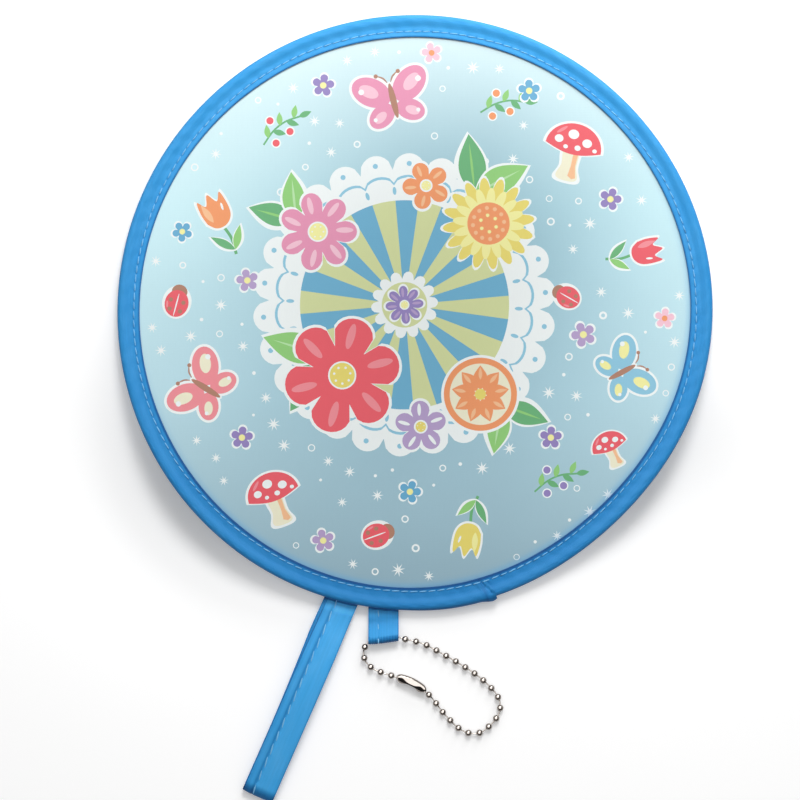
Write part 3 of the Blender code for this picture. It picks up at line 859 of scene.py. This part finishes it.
strap = {
    "angle": radians(255.83), "heading": radians(246.3), "reach": 0.0786, "width": 0.0120,
    "leaf": 0.0005, "arch": 0.0053, "nose": 0.0055, "skew": 0.0011, "tail": 0.0085,
    "narrow": 0.05, "ribs": 0.0, "arches": (
        (0.0, 0.0), (0.04, 0.03), (0.12, 0.22), (0.22, 0.52), (0.34, 0.80), (0.48, 0.97),
        (0.62, 1.0), (0.76, 0.95), (0.88, 0.86), (1.0, 0.76)),
    "stitchPitch": 0.0049, "stitchShare": -1 / 6, "from": 0.02, "unsewn": 0.0024,
    "bendFrom": -0.0010, "bendTo": 0.0060,
    # painted light over the strap and on its lower leaf, and painted shade over its folded end
    "bright": 1.20, "lowShade": 1.30, "endFrom": 0.0738, "endShade": 0.62,
}
chainTab = {
    "angle": strap["angle"] + (0.0060 + 0.00378 + 0.0056) / 0.110, "heading": radians(270),
    "reach": 0.0128, "width": 0.0112, "leaf": 0.0005, "slant": radians(6.5), "neck": 0.42,
    "fold": 0.00175, "tail": 0.0085, "narrow": 0.0, "ribs": 0.00006,
    "stitchPitch": 0.0034, "stitchShare": -1 / 6, "from": 0.12, "unsewn": 0.0014,
    # the last two set the painted light of the lower and the upper leaf
    "bendFrom": -0.0010, "bendTo": 0.0042, "lowShade": 0.90, "upperLight": 0.38,
}
tabTunnel = chainTab["reach"] - chainTab["fold"] - chainTab["leaf"] / 2
lowLeaf, highLeaf, gap = 0.00025, 0.00105, 0.0003  # heights of both leaves, and room at the rim


def strapRow():
    size, tail, skew = strap, strap["tail"], strap["skew"]
    turnAt = size["reach"] - size["leaf"] / 2 - size["nose"]
    run, rise = turnAt - gap, size["arch"] - highLeaf
    low = [(x, lowLeaf, y) for x, y in (
        (-tail, -skew), (-0.001, -skew), (gap + run / 6, -skew), (gap + run / 3, -skew / 2),
        (gap + run * 2 / 3, 0), (turnAt, 0))]
    top = highLeaf + rise * size["arches"][-1][1]
    middle = (lowLeaf + top) / 2
    fold = [(turnAt + size["nose"] * cos(a), middle + (top - middle) * sin(a), 0)
            for a in np.linspace(-pi / 2, pi / 2, 9)[1:-1]]
    high = [(gap + run * s, highLeaf + rise * h, 0) for s, h in size["arches"][::-1]]
    return smoothRow(low + fold + high + [(x, highLeaf, 0) for x in (-0.001, -0.004, -tail)], 9)


def tabRow():
    tail, curl = chainTab["tail"], chainTab["fold"]
    neck = chainTab["reach"] * chainTab["neck"]
    low = [(x, lowLeaf, 0) for x in (-tail, -0.003, 0.0005, neck, (neck + tabTunnel) / 2)]
    fold = [(tabTunnel + curl * cos(a), lowLeaf + curl * (1 + sin(a)), 0)
            for a in np.linspace(-pi / 2, pi / 2 + radians(30), 11)]
    high = [(x, highLeaf, 0) for x in (neck, 0.0022, -0.001, -0.004, -tail)]
    return smoothRow(low + fold + high, 7)


def tapeProfile(width, share):
    # places across the tape and how far each stands out: a sewn line with the folded part beside it
    across = [[-0.5, -0.492, -0.475], np.linspace(-0.455, 0.455, 36), [0.475, 0.492, 0.5]]
    across = np.concatenate(across)
    sewn = 0.16 * bell(across - share, 0.035)
    leftRoll = 0.22 * ease((share - across) / 0.36)
    crown = 0.10 * np.cos(across * pi)
    edge = 0.10 * (np.abs(across) > 0.49)
    return across * width, (crown - sewn - leftRoll - edge) * 0.001


def rimShade(outside):
    # painted shadow as a dark line right under the rim, and painted light where the rim's shadow
    # falls
    lifted = 1 + 0.24 * ease((0.0052 - outside) / 0.0014)
    return (1 - 0.74 * ease((0.0011 - outside) / 0.0004)) * lifted


def makeTape(name, row, loop, size, material, shadeAt):
    width, half = size["width"], size["leaf"] / 2
    across, out = tapeProfile(width, size["stitchShare"])
    lengths = lengthsAlong(row[:, :2])
    above = ease((row[:, 1] - 0.0006) / 0.0010)[:, None]
    seam = bell(across - width * size["stitchShare"], 0.0012)
    ripple = 0.00006 * np.sin(lengths[:, None] / 0.0034 * fullTurn) * seam
    gathers = ease((row[:, 0:1] - 0.0092) / 0.0012) * np.sin(across / 0.00085 * fullTurn)
    more = out * above + ripple * above + size["ribs"] * gathers
    spread = across * (1 - size["narrow"] * ease((0.024 - row[:, 0:1]) / 0.022))
    outer = loop.surface(row, half + more, spread)
    inner = loop.surface(row, -half + more * 0.9, spread)
    x, y = (outer[..., i] - disc["middle"][i] for i in (0, 1))
    outside = np.hypot(x, y) - rimRadius(np.arctan2(y, x))
    shade = shadeAt(row, across) * rimShade(outside)
    # painted shade along both edges of the tape
    shade = shade * (1 - 0.26 * ease((np.abs(across) / width - 0.460) / 0.014))
    return foldTape(name, outer, inner, lengths * 1000, across * 1000, shade, 0.75, material)


def strapShade(row, across):
    # painted light and shade: the upper leaf lit at the right of its seam, shade in the crease
    # beside it, a pale band and a dark edge at its left, shade over the folded end, and the lower
    # leaf evenly lit
    along, s = row[:, 0:1], across / strap["width"]
    upper = ease((row[:, 1:2] - 0.0006) / 0.001)
    fromSeam = s - strap["stitchShare"]
    right = 1 + 0.30 * ease((fromSeam + 0.02) / 0.06) * (1 - 0.6 * ease((s - 0.34) / 0.16))
    crease = 1 - 0.32 * bell(fromSeam + 0.055, 0.032)
    left = (1 + 0.16 * bell(s + 0.34, 0.07)) * (1 - 0.45 * ease((-0.462 - s) / 0.02))
    # painted shade over the folded end
    end = 1 - strap["endShade"] * ease((along - strap["endFrom"]) / 0.0035)
    even = strap["lowShade"]
    return (even + (right * crease * left - even) * upper) * end * strap["bright"]


def tabShade(row, across):
    # painted shade over the folded end and in the furrows between the gathers, and painted light on
    # the upper leaf
    slanted = row[:, 0:1] + across / chainTab["width"] * 0.0010
    upper = ease((row[:, 1:2] - 0.0006) / 0.0006)
    fold = 1 - 0.34 * ease((slanted - 0.0100) / 0.0012) - 0.22 * ease((slanted - 0.0116) / 0.0005)
    deep = 0.05 + 0.22 * ease((row[:, 0:1] - 0.0098) / 0.001)
    ribs = 1 - deep * (0.5 + 0.5 * np.sin(across / 0.00105 * fullTurn))
    return (chainTab["lowShade"] + chainTab["upperLight"] * upper) * fold * ribs


strapLoop = LoopedTape(strap["angle"], strap["heading"], 0)
tabLoop = LoopedTape(chainTab["angle"], chainTab["heading"], tan(chainTab["slant"]) / tabTunnel)
strapPath, tabPath = strapRow(), tabRow()
wristStrap = makeTape("wristStrap", strapPath, strapLoop, strap, azure, strapShade)
tabTape = makeTape("chainTab", tabPath, tabLoop, chainTab, azure, tabShade)
for piece, loop, size, body, nodes in (
    (wristStrap, strapLoop, strap, "strap", ("strap_tail_lower", "strap_tail_upper", "strap_loop")),
    (tabTape, tabLoop, chainTab, "tab", ("tab_tail_lower", "tab_tail_upper", "tab_loop")),
):
    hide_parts(*nodes)
    start = loop.point(size["bendFrom"], 0, disc["height"])
    end = loop.point(size["bendTo"], 0, disc["height"])
    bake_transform(piece)
print("strap and tab made")

# one tree lays the stitches along any row of points
stitch = {"width": 0.00040, "strapWidth": 0.00052, "height": 0.00030, "share": 0.93, "seed": 4}


def threadLook():
    look = Look("sewingThread", Roughness=0.5, Sheen_Weight=0.1, Specular_IOR_Level=0.3)
    where = look.place()
    ply = look.waves(look.scaled(where, (1, 1, 1)), 900.0, "DIAGONAL")
    tone = look.noise(where, 160.0)
    colour = look.mix(tone * 0.5 + ply * 0.15, tint("90D2F8"), tint("60B4EA"))
    return look.finish(Base_Color=colour, Normal=look.bump(ply, 0.4, 0.00005))


def wire(tree, kind, inputs=None, output=0, **settings):
    # one node of the tree; gives the output that goes on to the next
    node = tree.nodes.new(kind)
    for key, value in settings.items():
        setattr(node, key, value)
    for key, value in (inputs or {}).items():
        if isinstance(value, bpy.types.NodeSocket):
            tree.links.new(value, node.inputs[key])
        else:
            node.inputs[key].default_value = value
    return node.outputs[output] if node.outputs else None


def stitchTree():
    tree = bpy.data.node_groups.new("stitchRow", "GeometryNodeTree")
    kinds = {"Row": "Geometry", "Stitch Count": "Int", "Stitch Length": "Float",
             "Thread Width": "Float", "Thread Height": "Float", "Lean": "Float", "Seed": "Int",
             "Thread": "Material"}
    for name, kind in kinds.items():
        tree.interface.new_socket(name, in_out="INPUT", socket_type="NodeSocket" + kind)
    tree.interface.new_socket("Stitches", in_out="OUTPUT", socket_type="NodeSocketGeometry")
    given = tree.nodes.new("NodeGroupInput").outputs
    curve = wire(tree, "GeometryNodeMeshToCurve", {"Mesh": given["Row"]})
    row = wire(tree, "GeometryNodeResampleCurve", {
        "Curve": curve, "Count": given["Stitch Count"]}, mode="COUNT")
    way = wire(tree, "GeometryNodeInputTangent")
    leant = wire(tree, "ShaderNodeVectorRotate", {
        "Vector": way, "Angle": given["Lean"]}, rotation_type="Z_AXIS")
    lie = wire(tree, "FunctionNodeAlignRotationToVector", {"Vector": leant}, axis="X")
    ball = wire(tree, "GeometryNodeMeshUVSphere", {"Segments": 8, "Rings": 6, "Radius": 0.5})
    size = wire(tree, "ShaderNodeCombineXYZ", {
        "X": given["Stitch Length"], "Y": given["Thread Width"], "Z": given["Thread Height"]})
    vary = wire(tree, "FunctionNodeRandomValue", {
        "Min": (0.90, 0.90, 0.9), "Max": (1.04, 1.12, 1.1), "Seed": given["Seed"]},
        data_type="FLOAT_VECTOR")
    scale = wire(tree, "ShaderNodeVectorMath", {0: size, 1: vary}, operation="MULTIPLY")
    laid = wire(tree, "GeometryNodeInstanceOnPoints", {
        "Points": row, "Instance": ball, "Rotation": lie, "Scale": scale})
    real = wire(tree, "GeometryNodeRealizeInstances", {"Geometry": laid})
    soft = wire(tree, "GeometryNodeSetShadeSmooth", {"Geometry": real})
    dressed = wire(tree, "GeometryNodeSetMaterial", {
        "Geometry": soft, "Material": given["Thread"]})
    wire(tree, "NodeGroupOutput", {"Stitches": dressed})
    return tree


def sewRow(name, points, pitch, lean, width, tree, material):
    # one row of stitches as a plain mesh
    row = bpy.data.meshes.new(name + "Row")
    row.from_pydata(points.tolist(), [(i, i + 1) for i in range(len(points) - 1)], [])
    guide = addObject(name + "Row", row)
    sewn = guide.modifiers.new("stitches", "NODES")
    sewn.node_group = tree
    wanted = {
        "Stitch Count": max(2, round(lengthsAlong(points)[-1] / pitch)),
        "Stitch Length": pitch * stitch["share"], "Thread Width": width,
        "Thread Height": stitch["height"], "Lean": radians(lean), "Seed": stitch["seed"],
        "Thread": material,
    }
    for item in tree.interface.items_tree:
        if item.in_out == "INPUT" and item.name in wanted:
            sewn[item.identifier] = wanted[item.name]
    bpy.context.view_layer.update()
    ready = guide.evaluated_get(bpy.context.evaluated_depsgraph_get())
    mesh = bpy.data.meshes.new_from_object(ready)
    guide.modifiers.remove(sewn)
    bpy.data.objects.remove(guide)
    mesh.name = name
    return addObject(name, mesh)


def rimRow(side):
    # the needle holes of the rim, on the upper face for side 1
    angles = np.linspace(rim["end"] - 359.2, rim["end"] - 0.4, 1200)
    sunk = rim["pucker"] * (0.45 + 0.25 * np.cos(stitchPhase(angles)))
    height = tapeHeight(rim["stitch"], liftAt(angles)) - sunk + 0.09
    wander = 0.10 * np.sin(angles / 7.0) + 0.06 * np.sin(angles / 2.3)
    around = np.radians(angles - slantAt(angles) * 0.70)
    return onRim(around, (stitchLine(angles) + wander) / 1000, side * height / 1000)


def leafStitches(path, loop, size):
    # the row on the upper leaf, from near the rim to just before the turn
    turnAt = int(np.argmax(path[:, 0]))
    upper, last = path[turnAt:], path[turnAt, 0] - size["unsewn"]
    upper = upper[(upper[:, 0] > size["reach"] * size["from"]) & (upper[:, 0] < last)]
    middle = np.array([[size["width"] * size["stitchShare"]]])
    return loop.surface(upper, size["leaf"] / 2 + 0.00001, middle)[:, 0]


thread = threadLook()
tree = stitchTree()
rimPitch = fullTurn * (disc["radius"] - rim["stitch"] / 1000) / rim["stitches"]
strapSeam = leafStitches(strapPath, strapLoop, strap)
tabSeam = leafStitches(tabPath, tabLoop, chainTab)
fine, coarse = stitch["width"], stitch["strapWidth"]
for name, points, pitch, lean, width, body, node in (
    ("frontStitches", rimRow(1), rimPitch, 4, fine, "disc", "front_thread"),
    ("backStitches", rimRow(-1), rimPitch, 2, fine, "disc", "back_thread"),
    ("strapStitches", strapSeam, strap["stitchPitch"], 8, coarse, "strap", "strap_thread"),
    ("tabStitches", tabSeam, chainTab["stitchPitch"], 6, coarse, "tab", "tab_thread"),
):
    piece = sewRow(name, points, pitch, lean, width, tree, thread)
    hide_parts(node)
    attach(piece, body)
print("stitches laid")

ball = {"radius": 0.0012, "hole": 0.00034, "link": 0.00026, "head": 0.00038, "headReach": 0.00085,
        "pivot": 0.001075, "hollow": 0.80, "lip": 0.90, "sides": 24, "rings": 18}


def metalLook(name, colour, rough, worn):
    look = Look(name, Metallic=1.0, Specular_Tint=(0.30, 0.28, 0.27, 1))
    where = look.place()
    smear = look.noise(where, 420.0, 3.0, 0.6)
    fine = look.noise(where, 2600.0, 2.0, 0.6)
    shade = look.mix(smear * 0.6, tint(colour), tint(worn))
    return look.finish(
        Base_Color=shade, Roughness=rough + smear * 0.10, Normal=look.bump(fine, 0.12, 0.00002))


nickel = metalLook("nickelPlate", "A9A29C", 0.07, "88807A")
steel = metalLook("springSteel", "C4C6CA", 0.26, "8E9094")
for node in ("hoop_wire", "hoop_ferrule"):
    frame["nodes"][node].data.materials.clear()
    frame["nodes"][node].data.materials.append(steel)


def ballMiddle(node):
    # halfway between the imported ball's two lowest and two highest points
    points = np.array([v.co[:] for v in frame["nodes"][node].data.vertices])
    points = np.unique(np.round(points, 7), axis=0)
    order = np.argsort(points[:, 2])
    return points[np.concatenate([order[:2], order[-2:]])].mean(0)


def turnedRings(profile, start, way, sides):
    # a turned shape: (distance along, radius) pairs about an axis from start
    way = unit(way)
    side = unit(np.cross(way, (0, 0, 1.0)))
    up = np.cross(side, way)
    a = np.linspace(0, fullTurn, sides, endpoint=False)
    spoke = np.cos(a)[:, None] * side + np.sin(a)[:, None] * up
    return [start + way * at + spoke * max(r, 1e-6) for at, r in profile]


def joinRings(shape, rings, closed=False):
    # faces from ring to ring, which close on themselves or are capped at both ends
    loops = [[shape.verts.new(tuple(p)) for p in ring] for ring in rings]
    if closed:
        loops.append(loops[0])
    else:
        shape.faces.new(loops[0][::-1])
        shape.faces.new(loops[-1])
    for near, far in zip(loops, loops[1:]):
        for k in range(len(near)):
            after = (k + 1) % len(near)
            shape.faces.new((near[k], near[after], far[after], far[k]))


def makeBall(name, middle, back, ahead, material, linked):
    # a hollow ball with a hole at each end, and its dumb-bell link behind
    radius, hole, sides = ball["radius"], ball["hole"], ball["sides"]
    shape = bmesh.new()
    axis = unit(ahead - back)
    edge = asin(hole / radius)
    angles = np.linspace(edge, pi - edge, ball["rings"])
    outer = [(-radius * cos(a), radius * sin(a)) for a in angles]
    inner = [(at * ball["hollow"], r * ball["hollow"]) for at, r in outer[::-1]]
    inner[0], inner[-1] = ((end * radius * ball["lip"], hole * 0.98) for end in (1, -1))
    joinRings(shape, turnedRings(outer + inner, middle, axis, sides), True)
    if linked:
        way = (middle - axis * radius * ball["lip"]) - back
        head, link = ball["head"], ball["link"]
        start = back - unit(way) * ball["headReach"]
        far = float(np.linalg.norm(way)) + ball["headReach"] + 0.0006
        bar = [(-head * 0.5, head * 0.5), (-head * 0.2, head * 0.9), (head * 0.3, head),
               (head * 0.8, head * 0.8), (head * 1.1, link), (far - head * 1.1, link),
               (far - head * 0.5, head * 0.9), (far, head * 0.5)]
        joinRings(shape, turnedRings(bar, start, way, sides))
    for face in shape.faces:
        face.smooth = True
    mesh = bpy.data.meshes.new(name)
    mesh.materials.append(material)
    settle(shape, mesh, 45)
    return addObject(name, mesh)


def bodyOf(node):
    groups = frame["record"]["behaviour"]["bodies"]
    return next(body for body, members in groups.items() if node in members)


def chainPlaces():
    # each ball's node, its middle, the hole behind it and a point ahead of it
    heart = ballMiddle("bead_tunnel_middle")
    places, ends = [], {}
    for side, count in (("right", 22), ("left", 6)):
        nodes = [f"bead_tunnel_{side}"] + [f"bead_{side}_{n:02d}" for n in range(1, count + 1)]
        row = [heart] + [ballMiddle(node) for node in nodes]
        row.append(row[-1] + (row[-1] - row[-2]))
        axis = unit(row[1] - heart)
        for node, before, here, after in zip(nodes, row, row[1:], row[2:]):
            hole = before + axis * ball["pivot"]
            axis = unit(unit(here - before) + unit(after - here))
            places.append((node, here, hole, here + axis))
        ends[side] = row[-2]
    span = places[0][1] - heart
    places.append(("bead_tunnel_middle", heart, heart - span, heart + span))
    return places, ends


places, ends = chainPlaces()
for node, middle, back, ahead in places:
    name = "ball" + node[5:].title().replace("_", "")
    piece = makeBall(name, middle, back, ahead, nickel, node != "bead_tunnel_middle")
    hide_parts(node)
    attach(piece, bodyOf(node))
print("chain made")

clasp = {"wall": 0.30, "half": 1.75, "before": 2.1, "after": 9.9, "spacing": 7.5, "turn": 1.7,
         "corner": 0.60, "depth": 1.38, "bow": 0.85, "lip": 0.40, "lobe": 0.95, "lobeWidth": 1.6,
         "endAt": 0.35, "endHalf": 1.42, "endDepth": 0.82, "endCorner": 0.3, "slot": 0.46}


def claspSection(x):
    # the channel's section at a place along it, in millimetres: across, up
    size = clasp
    share = (x + size["before"]) / (size["before"] + size["after"])
    near = min(1.0, min(x + size["before"], size["after"] - x) / size["turn"])
    full = sqrt(max(0.0, 1 - (1 - near) ** 2))
    lobe = sum(exp(-(((x - seat) / size["lobeWidth"]) ** 2)) for seat in (0, size["spacing"]))
    back = size["depth"] + size["bow"] * sin(pi * share) - 1.0 * (1 - full)
    high = size["half"] - 0.35 * (1 - full)
    lip = (size["lip"] + size["lobe"] * lobe) * (0.35 + 0.65 * full)
    drop = 0.25 + 1.15 * min(1, lobe)
    curl = lip + 0.15 + 0.85 * min(1, lobe)
    r = size["corner"] * (0.4 + 0.6 * full)

    def half(wall):
        top, far, bend = high - wall, back - wall, max(r - wall, 0.08)
        edge = [(-lip + curl * u, top - drop * (1 - u) ** 1.6) for u in np.linspace(0, 1, 10)]
        edge += [(far - bend + bend * sin(a), top - bend + bend * cos(a))
                 for a in np.linspace(0, pi / 2, 7)]
        return edge + [(y, -z) for y, z in edge[::-1]]

    return half(0) + half(size["wall"])[::-1]


def makeClasp(seat, farSeat, material):
    # a bent channel whose lips curl over the two end balls, closed at each end by a slotted wall
    size = clasp
    way = unit(farSeat - seat)
    back, up = np.array([-way[1], way[0], 0]), np.array([0, 0, 1.0])

    def at(x, y, z):
        return seat + (way * x + back * y + up * z) / 1000

    length = size["before"] + size["after"]
    stations = -size["before"] + length * (1 - np.cos(np.linspace(0, pi, 64))) / 2
    rings = np.array([[at(x, y, z) for y, z in claspSection(x)] for x in stations])
    around = np.arange(rings.shape[1]) * 0.3
    piece = skin("chainClasp", rings, material, stations, around, 50)
    shape = bmesh.new()
    shape.from_mesh(piece.data)
    near, tall, far, cut = -size["endAt"], size["endHalf"], size["endDepth"], size["endCorner"]
    slot = size["slot"]
    edge = [(near, tall), (far - cut, tall), (far, tall - cut), (far, cut - tall),
            (far - cut, -tall), (near, -tall), (near, -slot)]
    edge += [polar(slot, a) for a in np.linspace(-pi / 2, pi / 2, 9)]
    edge.append((near, slot))
    for x, side in ((size["endAt"] - size["before"], 1), (size["after"] - size["endAt"], -1)):
        joinRings(shape, [[at(x + side * depth, *p) for p in edge] for depth in (0, size["wall"])])
    settle(shape, piece.data, 50)
    return piece


chainClasp = makeClasp(ends["left"], ends["right"], nickel)
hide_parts("chain_connector")
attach(chainClasp, "connector")
print("clasp made")

# floor, lamps and world
studio = {
    "floor": 8.0, "fine": 0.22, "lines": 141, "under": -0.00005, "white": 0.97,
    "glow": 0.16, "glowStrength": 2.7, "slant": (0.22, 0.80, 0.55), "close": 0.004,
    "closeSink": 2.0, "dim": 40.0, "around": 0.116, "fade": 0.036, "dome": 0.38, "horizon": 0.17,
    "window": (-0.17, 0.36, 0.92), "windowGlow": 3.0, "windowEdge": (0.14, 0.13, 0.12),
    "wall": 0.03, "aim": (0, 0.02, 0),
}
# the cloth sinks a little beside the rim: towards (degrees), depth, half the reach (degrees)
hollows = ((217.0, 0.0100, 26.0), (325.0, 0.0090, 20.0))
lamps = (
    # name, place, size, watts
    ("keyLamp", (0.06, 0.46, 0.50), 0.24, 2.9),
    ("lowLamp", (0.22, 0.50, 0.20), 0.20, 1.0),
)


def makeFloor():
    lines, fine = studio["lines"], studio["fine"]
    line = np.linspace(-1, 1, lines)
    line = fine * line + (studio["floor"] / 2 - fine) * line ** 7
    x, y = np.meshgrid(line, line, indexing="ij")
    outX, outY = x - disc["middle"][0], y - disc["middle"][1]
    towards = np.degrees(np.arctan2(outY, outX)) % 360
    sunk = sum(depth * bell(towards - at, reach) for at, depth, reach in hollows)
    sunk = sunk * bell(np.hypot(outX, outY) - studio["around"], studio["fade"])
    spots = np.stack([x, y, studio["under"] - sunk], -1).reshape(-1, 3)
    first = (np.arange(lines - 1)[:, None] * lines + np.arange(lines - 1)).reshape(-1)
    faces = np.stack([first, first + lines, first + lines + 1, first + 1], -1)
    pale = (studio["white"],) * 3
    look = Look("paleTable", Base_Color=pale, Roughness=0.9, Specular_IOR_Level=0.1)
    grain = look.noise(look.place(), 60.0, 3.0)
    look.finish(Normal=look.bump(grain, 0.05, 0.0002))
    shine = look.glow("Emission", (1, 1, 1), studio["glowStrength"])
    seen = look.maths("MAXIMUM", look.ray("Camera"), look.ray("Glossy"))
    seen = look.maths("MAXIMUM", seen, look.ray("Transmission"))
    # painted shadow: less glow where the object stands close on the lamps' side, and less again in
    # the hollows
    slant = look.add("ShaderNodeCombineXYZ", {}, dict(enumerate(studio["slant"])))
    sinking = look.maths("MAXIMUM", look.height(look.place()) * -1.0, 0)
    reach = sinking * studio["closeSink"] + studio["close"]
    close = look.add("ShaderNodeAmbientOcclusion", {"samples": 8}, {
        "Distance": reach, "Normal": slant}, "AO")
    share = seen * close * (1 - sinking * studio["dim"]) * studio["glow"]
    look.show(share, Value(look, look.shader.outputs[0]), shine, "Material Output")
    addPiece("paleFloor", spots, faces.tolist(), look.material)


def makeLamps():
    for name, place, size, power in lamps:
        lamp = bpy.data.lights.new(name, "AREA")
        lamp.size = size
        lamp.energy = power
        holder = addObject(name, lamp)
        holder.location = place
        aim = Vector(studio["aim"]) - Vector(place)
        holder.rotation_euler = aim.to_track_quat("-Z", "Y").to_euler()


def makeWorld():
    # an even dome for the light, a window among dark walls for what shines, and white behind it all
    world = bpy.data.worlds.new("studioWorld")
    bpy.context.scene.world = world
    sky = Wiring(world)
    low, high, glow = studio["horizon"], studio["dome"], studio["windowGlow"]
    way = sky.add("ShaderNodeTexCoord", output="Generated")
    height = sky.height(way)
    dome = sky.ramp(height, (0.05, (low * 0.3,) * 3), (0.30, (low,) * 3), (0.75, (high,) * 3))
    facing = sky.add("ShaderNodeVectorMath", {"operation": "DOT_PRODUCT"}, {
        0: way, 1: studio["window"]}, "Value")
    window = sky.ramp(facing, (0.30, (studio["wall"],) * 3), (0.66, studio["windowEdge"]),
                      (0.75, (glow,) * 3), (1.0, (glow,) * 3))
    light = sky.mix(sky.ray("Glossy"), dome, window)
    level = sky.ramp(height, (0.03, (1, 1, 1)), (0.08, (0, 0, 0)))
    behind = sky.maths("MAXIMUM", sky.ray("Glossy") * level, sky.ray("Transmission"))
    lit = sky.glow("Background", light, 1.0)
    white = sky.glow("Background", (1, 1, 1), 1.0)
    seen = sky.maths("MAXIMUM", sky.ray("Camera"), behind)
    sky.show(seen, lit, white, "World Output")


makeFloor()
makeLamps()
makeWorld()
bpy.context.scene.view_settings.view_transform = "Standard"
print("stage set")
